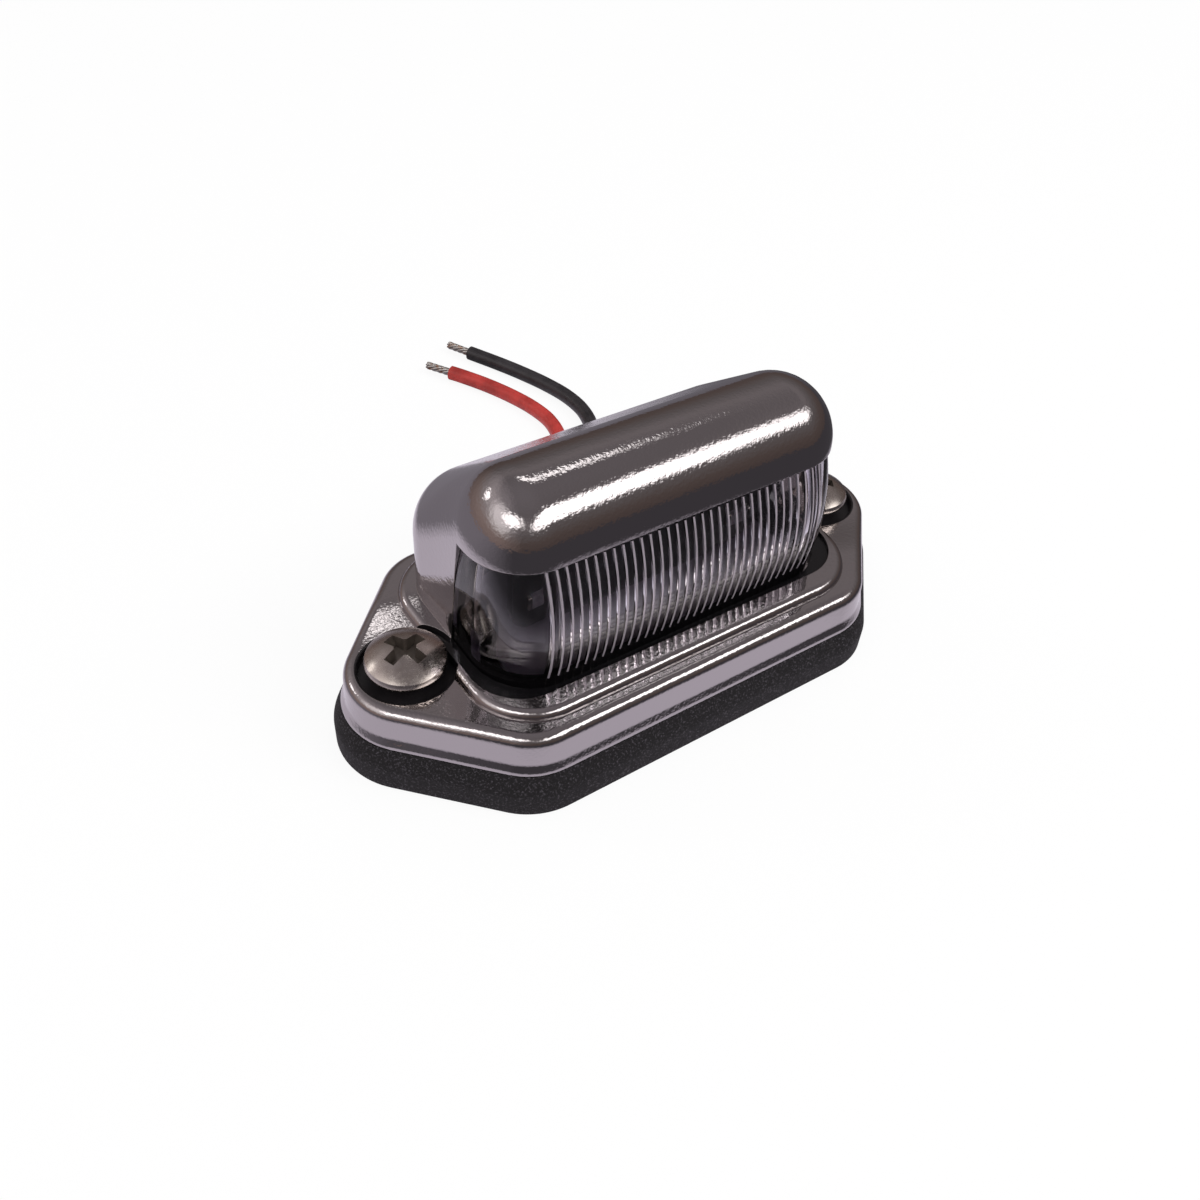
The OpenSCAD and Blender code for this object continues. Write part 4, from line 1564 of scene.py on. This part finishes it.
@dataclass
class Led:
    """One white light-emitting diode: moulded cup, phosphor and two terminals."""

    number: int
    wall: float = 0.3
    steps: int = 40

    def disc(self, x: float, z: float, radius: float, y: float) -> Ring:
        """Gives an upright circle round x and z, at a place in depth."""
        turn = np.radians(np.linspace(0, 360, self.steps, endpoint=False))
        depth = np.full(self.steps, y)
        return np.column_stack([x + radius * np.cos(turn), depth, z + radius * np.sin(turn)])

    def build(self, cup: bpy.types.Material, phosphor: bpy.types.Material, metal: bpy.types.Material) -> None:
        """Builds the diode in the place of its CAD node.

        Args:
            cup: Finish of the moulded cup.
            phosphor: Finish of the phosphor.
            metal: Finish of the terminals.
        """
        node = f"led_{self.number}"
        low, high = (np.array(v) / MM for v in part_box(node))
        x, z = (low[0] + high[0]) / 2, (low[2] + high[2]) / 2
        front, rear = low[1], high[1]
        body = box("cup", (low[0], front, low[2] + 0.25), (high[0], rear, high[2] - 0.25))
        soften(body, 0.12)
        r = (high[0] - low[0]) / 2 - self.wall
        rings = [self.disc(x, z, *level) for level in ((r, front - 0.2), (r, front), (r * 0.8, front + 0.3))]
        combine(body, skin("bowl", [ring[::-1] for ring in rings[::-1]]), Merge.CUT)
        shade(body, 35)
        dome_radii = (r * 0.88, r * 0.85, r * 0.5, 0.02)
        dome_depths = (0.22, 0.14, 0.11, 0.1)
        dome = [self.disc(x, z, radius, front + depth) for radius, depth in zip(dome_radii, dome_depths)]
        glow = skin("phosphor", dome)
        ends = [
            box("terminal", (low[0] + 0.35, front + 0.35, z0), (high[0] - 0.35, rear, z0 + 0.3))
            for z0 in (low[2], high[2] - 0.3)
        ]
        parts = [wear(body, cup), wear(glow, phosphor), *(wear(end, metal) for end in ends)]
        made = joined(f"white_diode_{self.number}", parts)
        made.data.set_sharp_from_angle(angle=math.radians(35))
        mount(made, "led_phosphor", node)


@dataclass
class Chip:
    """A small part on the board with a body and two plated ends."""

    name: str
    node: str
    end: float = 0.5

    def build(self, body: bpy.types.Material, metal: bpy.types.Material, slot: str) -> None:
        """Builds the chip in the place of its CAD node.

        Args:
            body: Finish of the body.
            metal: Finish of the plated ends.
            slot: Material slot of the record.
        """
        low, high = (np.array(v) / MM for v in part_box(self.node))
        inset = 0.04
        start = (low[0] + self.end, low[1] + inset, low[2] + inset)
        middle = box("middle", start, (high[0] - self.end, high[1], high[2] - inset))
        left = box("left", low, (low[0] + self.end, high[1], high[2]))
        right = box("right", (high[0] - self.end, low[1], low[2]), high)
        for part in (left, right):
            soften(part, 0.1)
        made = joined(self.name, [wear(middle, body), wear(left, metal), wear(right, metal)])
        made.data.set_sharp_from_angle(angle=math.radians(35))
        mount(made, slot, self.node)


def dress(node: str, finish: bpy.types.Material, angle: float = 30) -> None:
    """Gives a CAD node that keeps its own shape a finish."""
    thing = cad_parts[node]
    wear(thing, finish)
    thing.data.shade_smooth()
    thing.data.set_sharp_from_angle(angle=math.radians(angle))


def main() -> None:
    """Builds the lamp piece by piece."""
    logging.basicConfig(level=logging.INFO, format="%(message)s")
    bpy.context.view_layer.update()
    scene = bpy.context.scene
    scene.view_settings.view_transform = "Standard"

    studio = Studio()
    studio.camera()
    metal = TinnedCopper().build()
    Lead("lead_red", WireColour.RED, RED_ROUTE, RED_TIP).build(metal)
    Lead("lead_black", WireColour.BLACK, BLACK_ROUTE, BLACK_TIP).build(metal)
    LOG.info("leads laid")
    studio.light()

    sizes = Sizes()
    # Black unplated ABS for the inside, also used as painted shadow in the screw recesses
    unplated_and_recess_shadow = MouldedPart("unplated_black_abs_and_recess_shadow", "#1b191b", "#151315", 0.6, 0.004, 0.38).build()
    Housing(sizes).build(ChromePlating().build(), unplated_and_recess_shadow)
    LOG.info("housing built")
    silicone = BlackSealant().build()
    Lens(sizes).build(ClearPlastic().build(), PaintedHighlightFlute().build(), silicone)
    LOG.info("lens built")
    steel = StainlessScrew().build()
    # Dull dark brown painted shade for the walls of the screws' cross recesses
    recess_painted_shade = MouldedPart("painted_shade_screw_recess", "#4b433d", "#3c3530", 0.4, 0.004, 0.34).build()
    Screw("left_screw", "screw_left", -sizes.screw_x, 20).build(steel, recess_painted_shade)
    Screw("right_screw", "screw_right", sizes.screw_x, -35).build(steel, recess_painted_shade)
    Gasket(sizes).build(ClosedCellFoam().build())
    LOG.info("screws and gasket built")

    cup = MouldedPart("white_nylon_cup", "#eceae6", "#e2dfd9", 0.3, 0.002, 0.35).build()
    phosphor = MouldedPart("phosphor_in_silicone", "#e8d25a", "#dcc148", 0.15, 0.003, 0.3).build()
    for number in range(1, 7):
        Led(number).build(cup, phosphor, metal)
    ceramic = MouldedPart("glazed_resistor_ceramic", "#8f8b92", "#7d7980", 0.3, 0.003, 0.3).build()
    epoxy = MouldedPart("black_moulding_epoxy", "#1d1c1e", "#151416", 0.25, 0.005, 0.45).build()
    Chip("left_resistor", "resistor_1").build(ceramic, metal, "chip_ceramic")
    Chip("right_resistor", "resistor_2").build(ceramic, metal, "chip_ceramic")
    Chip("reverse_guard_diode", "polarity_diode").build(epoxy, metal, "chip_ceramic")
    dress("circuit_board", SolderMask().build())
    dress("lens_seal", silicone)
    resin = MouldedPart("grey_potting_resin", "#675f6b", "#5b545f", 2.0, 0.02, 0.34).build()
    dress("potting", resin)
    LOG.info("board, seal and resin dressed")


if __name__ == "__main__":
    main()
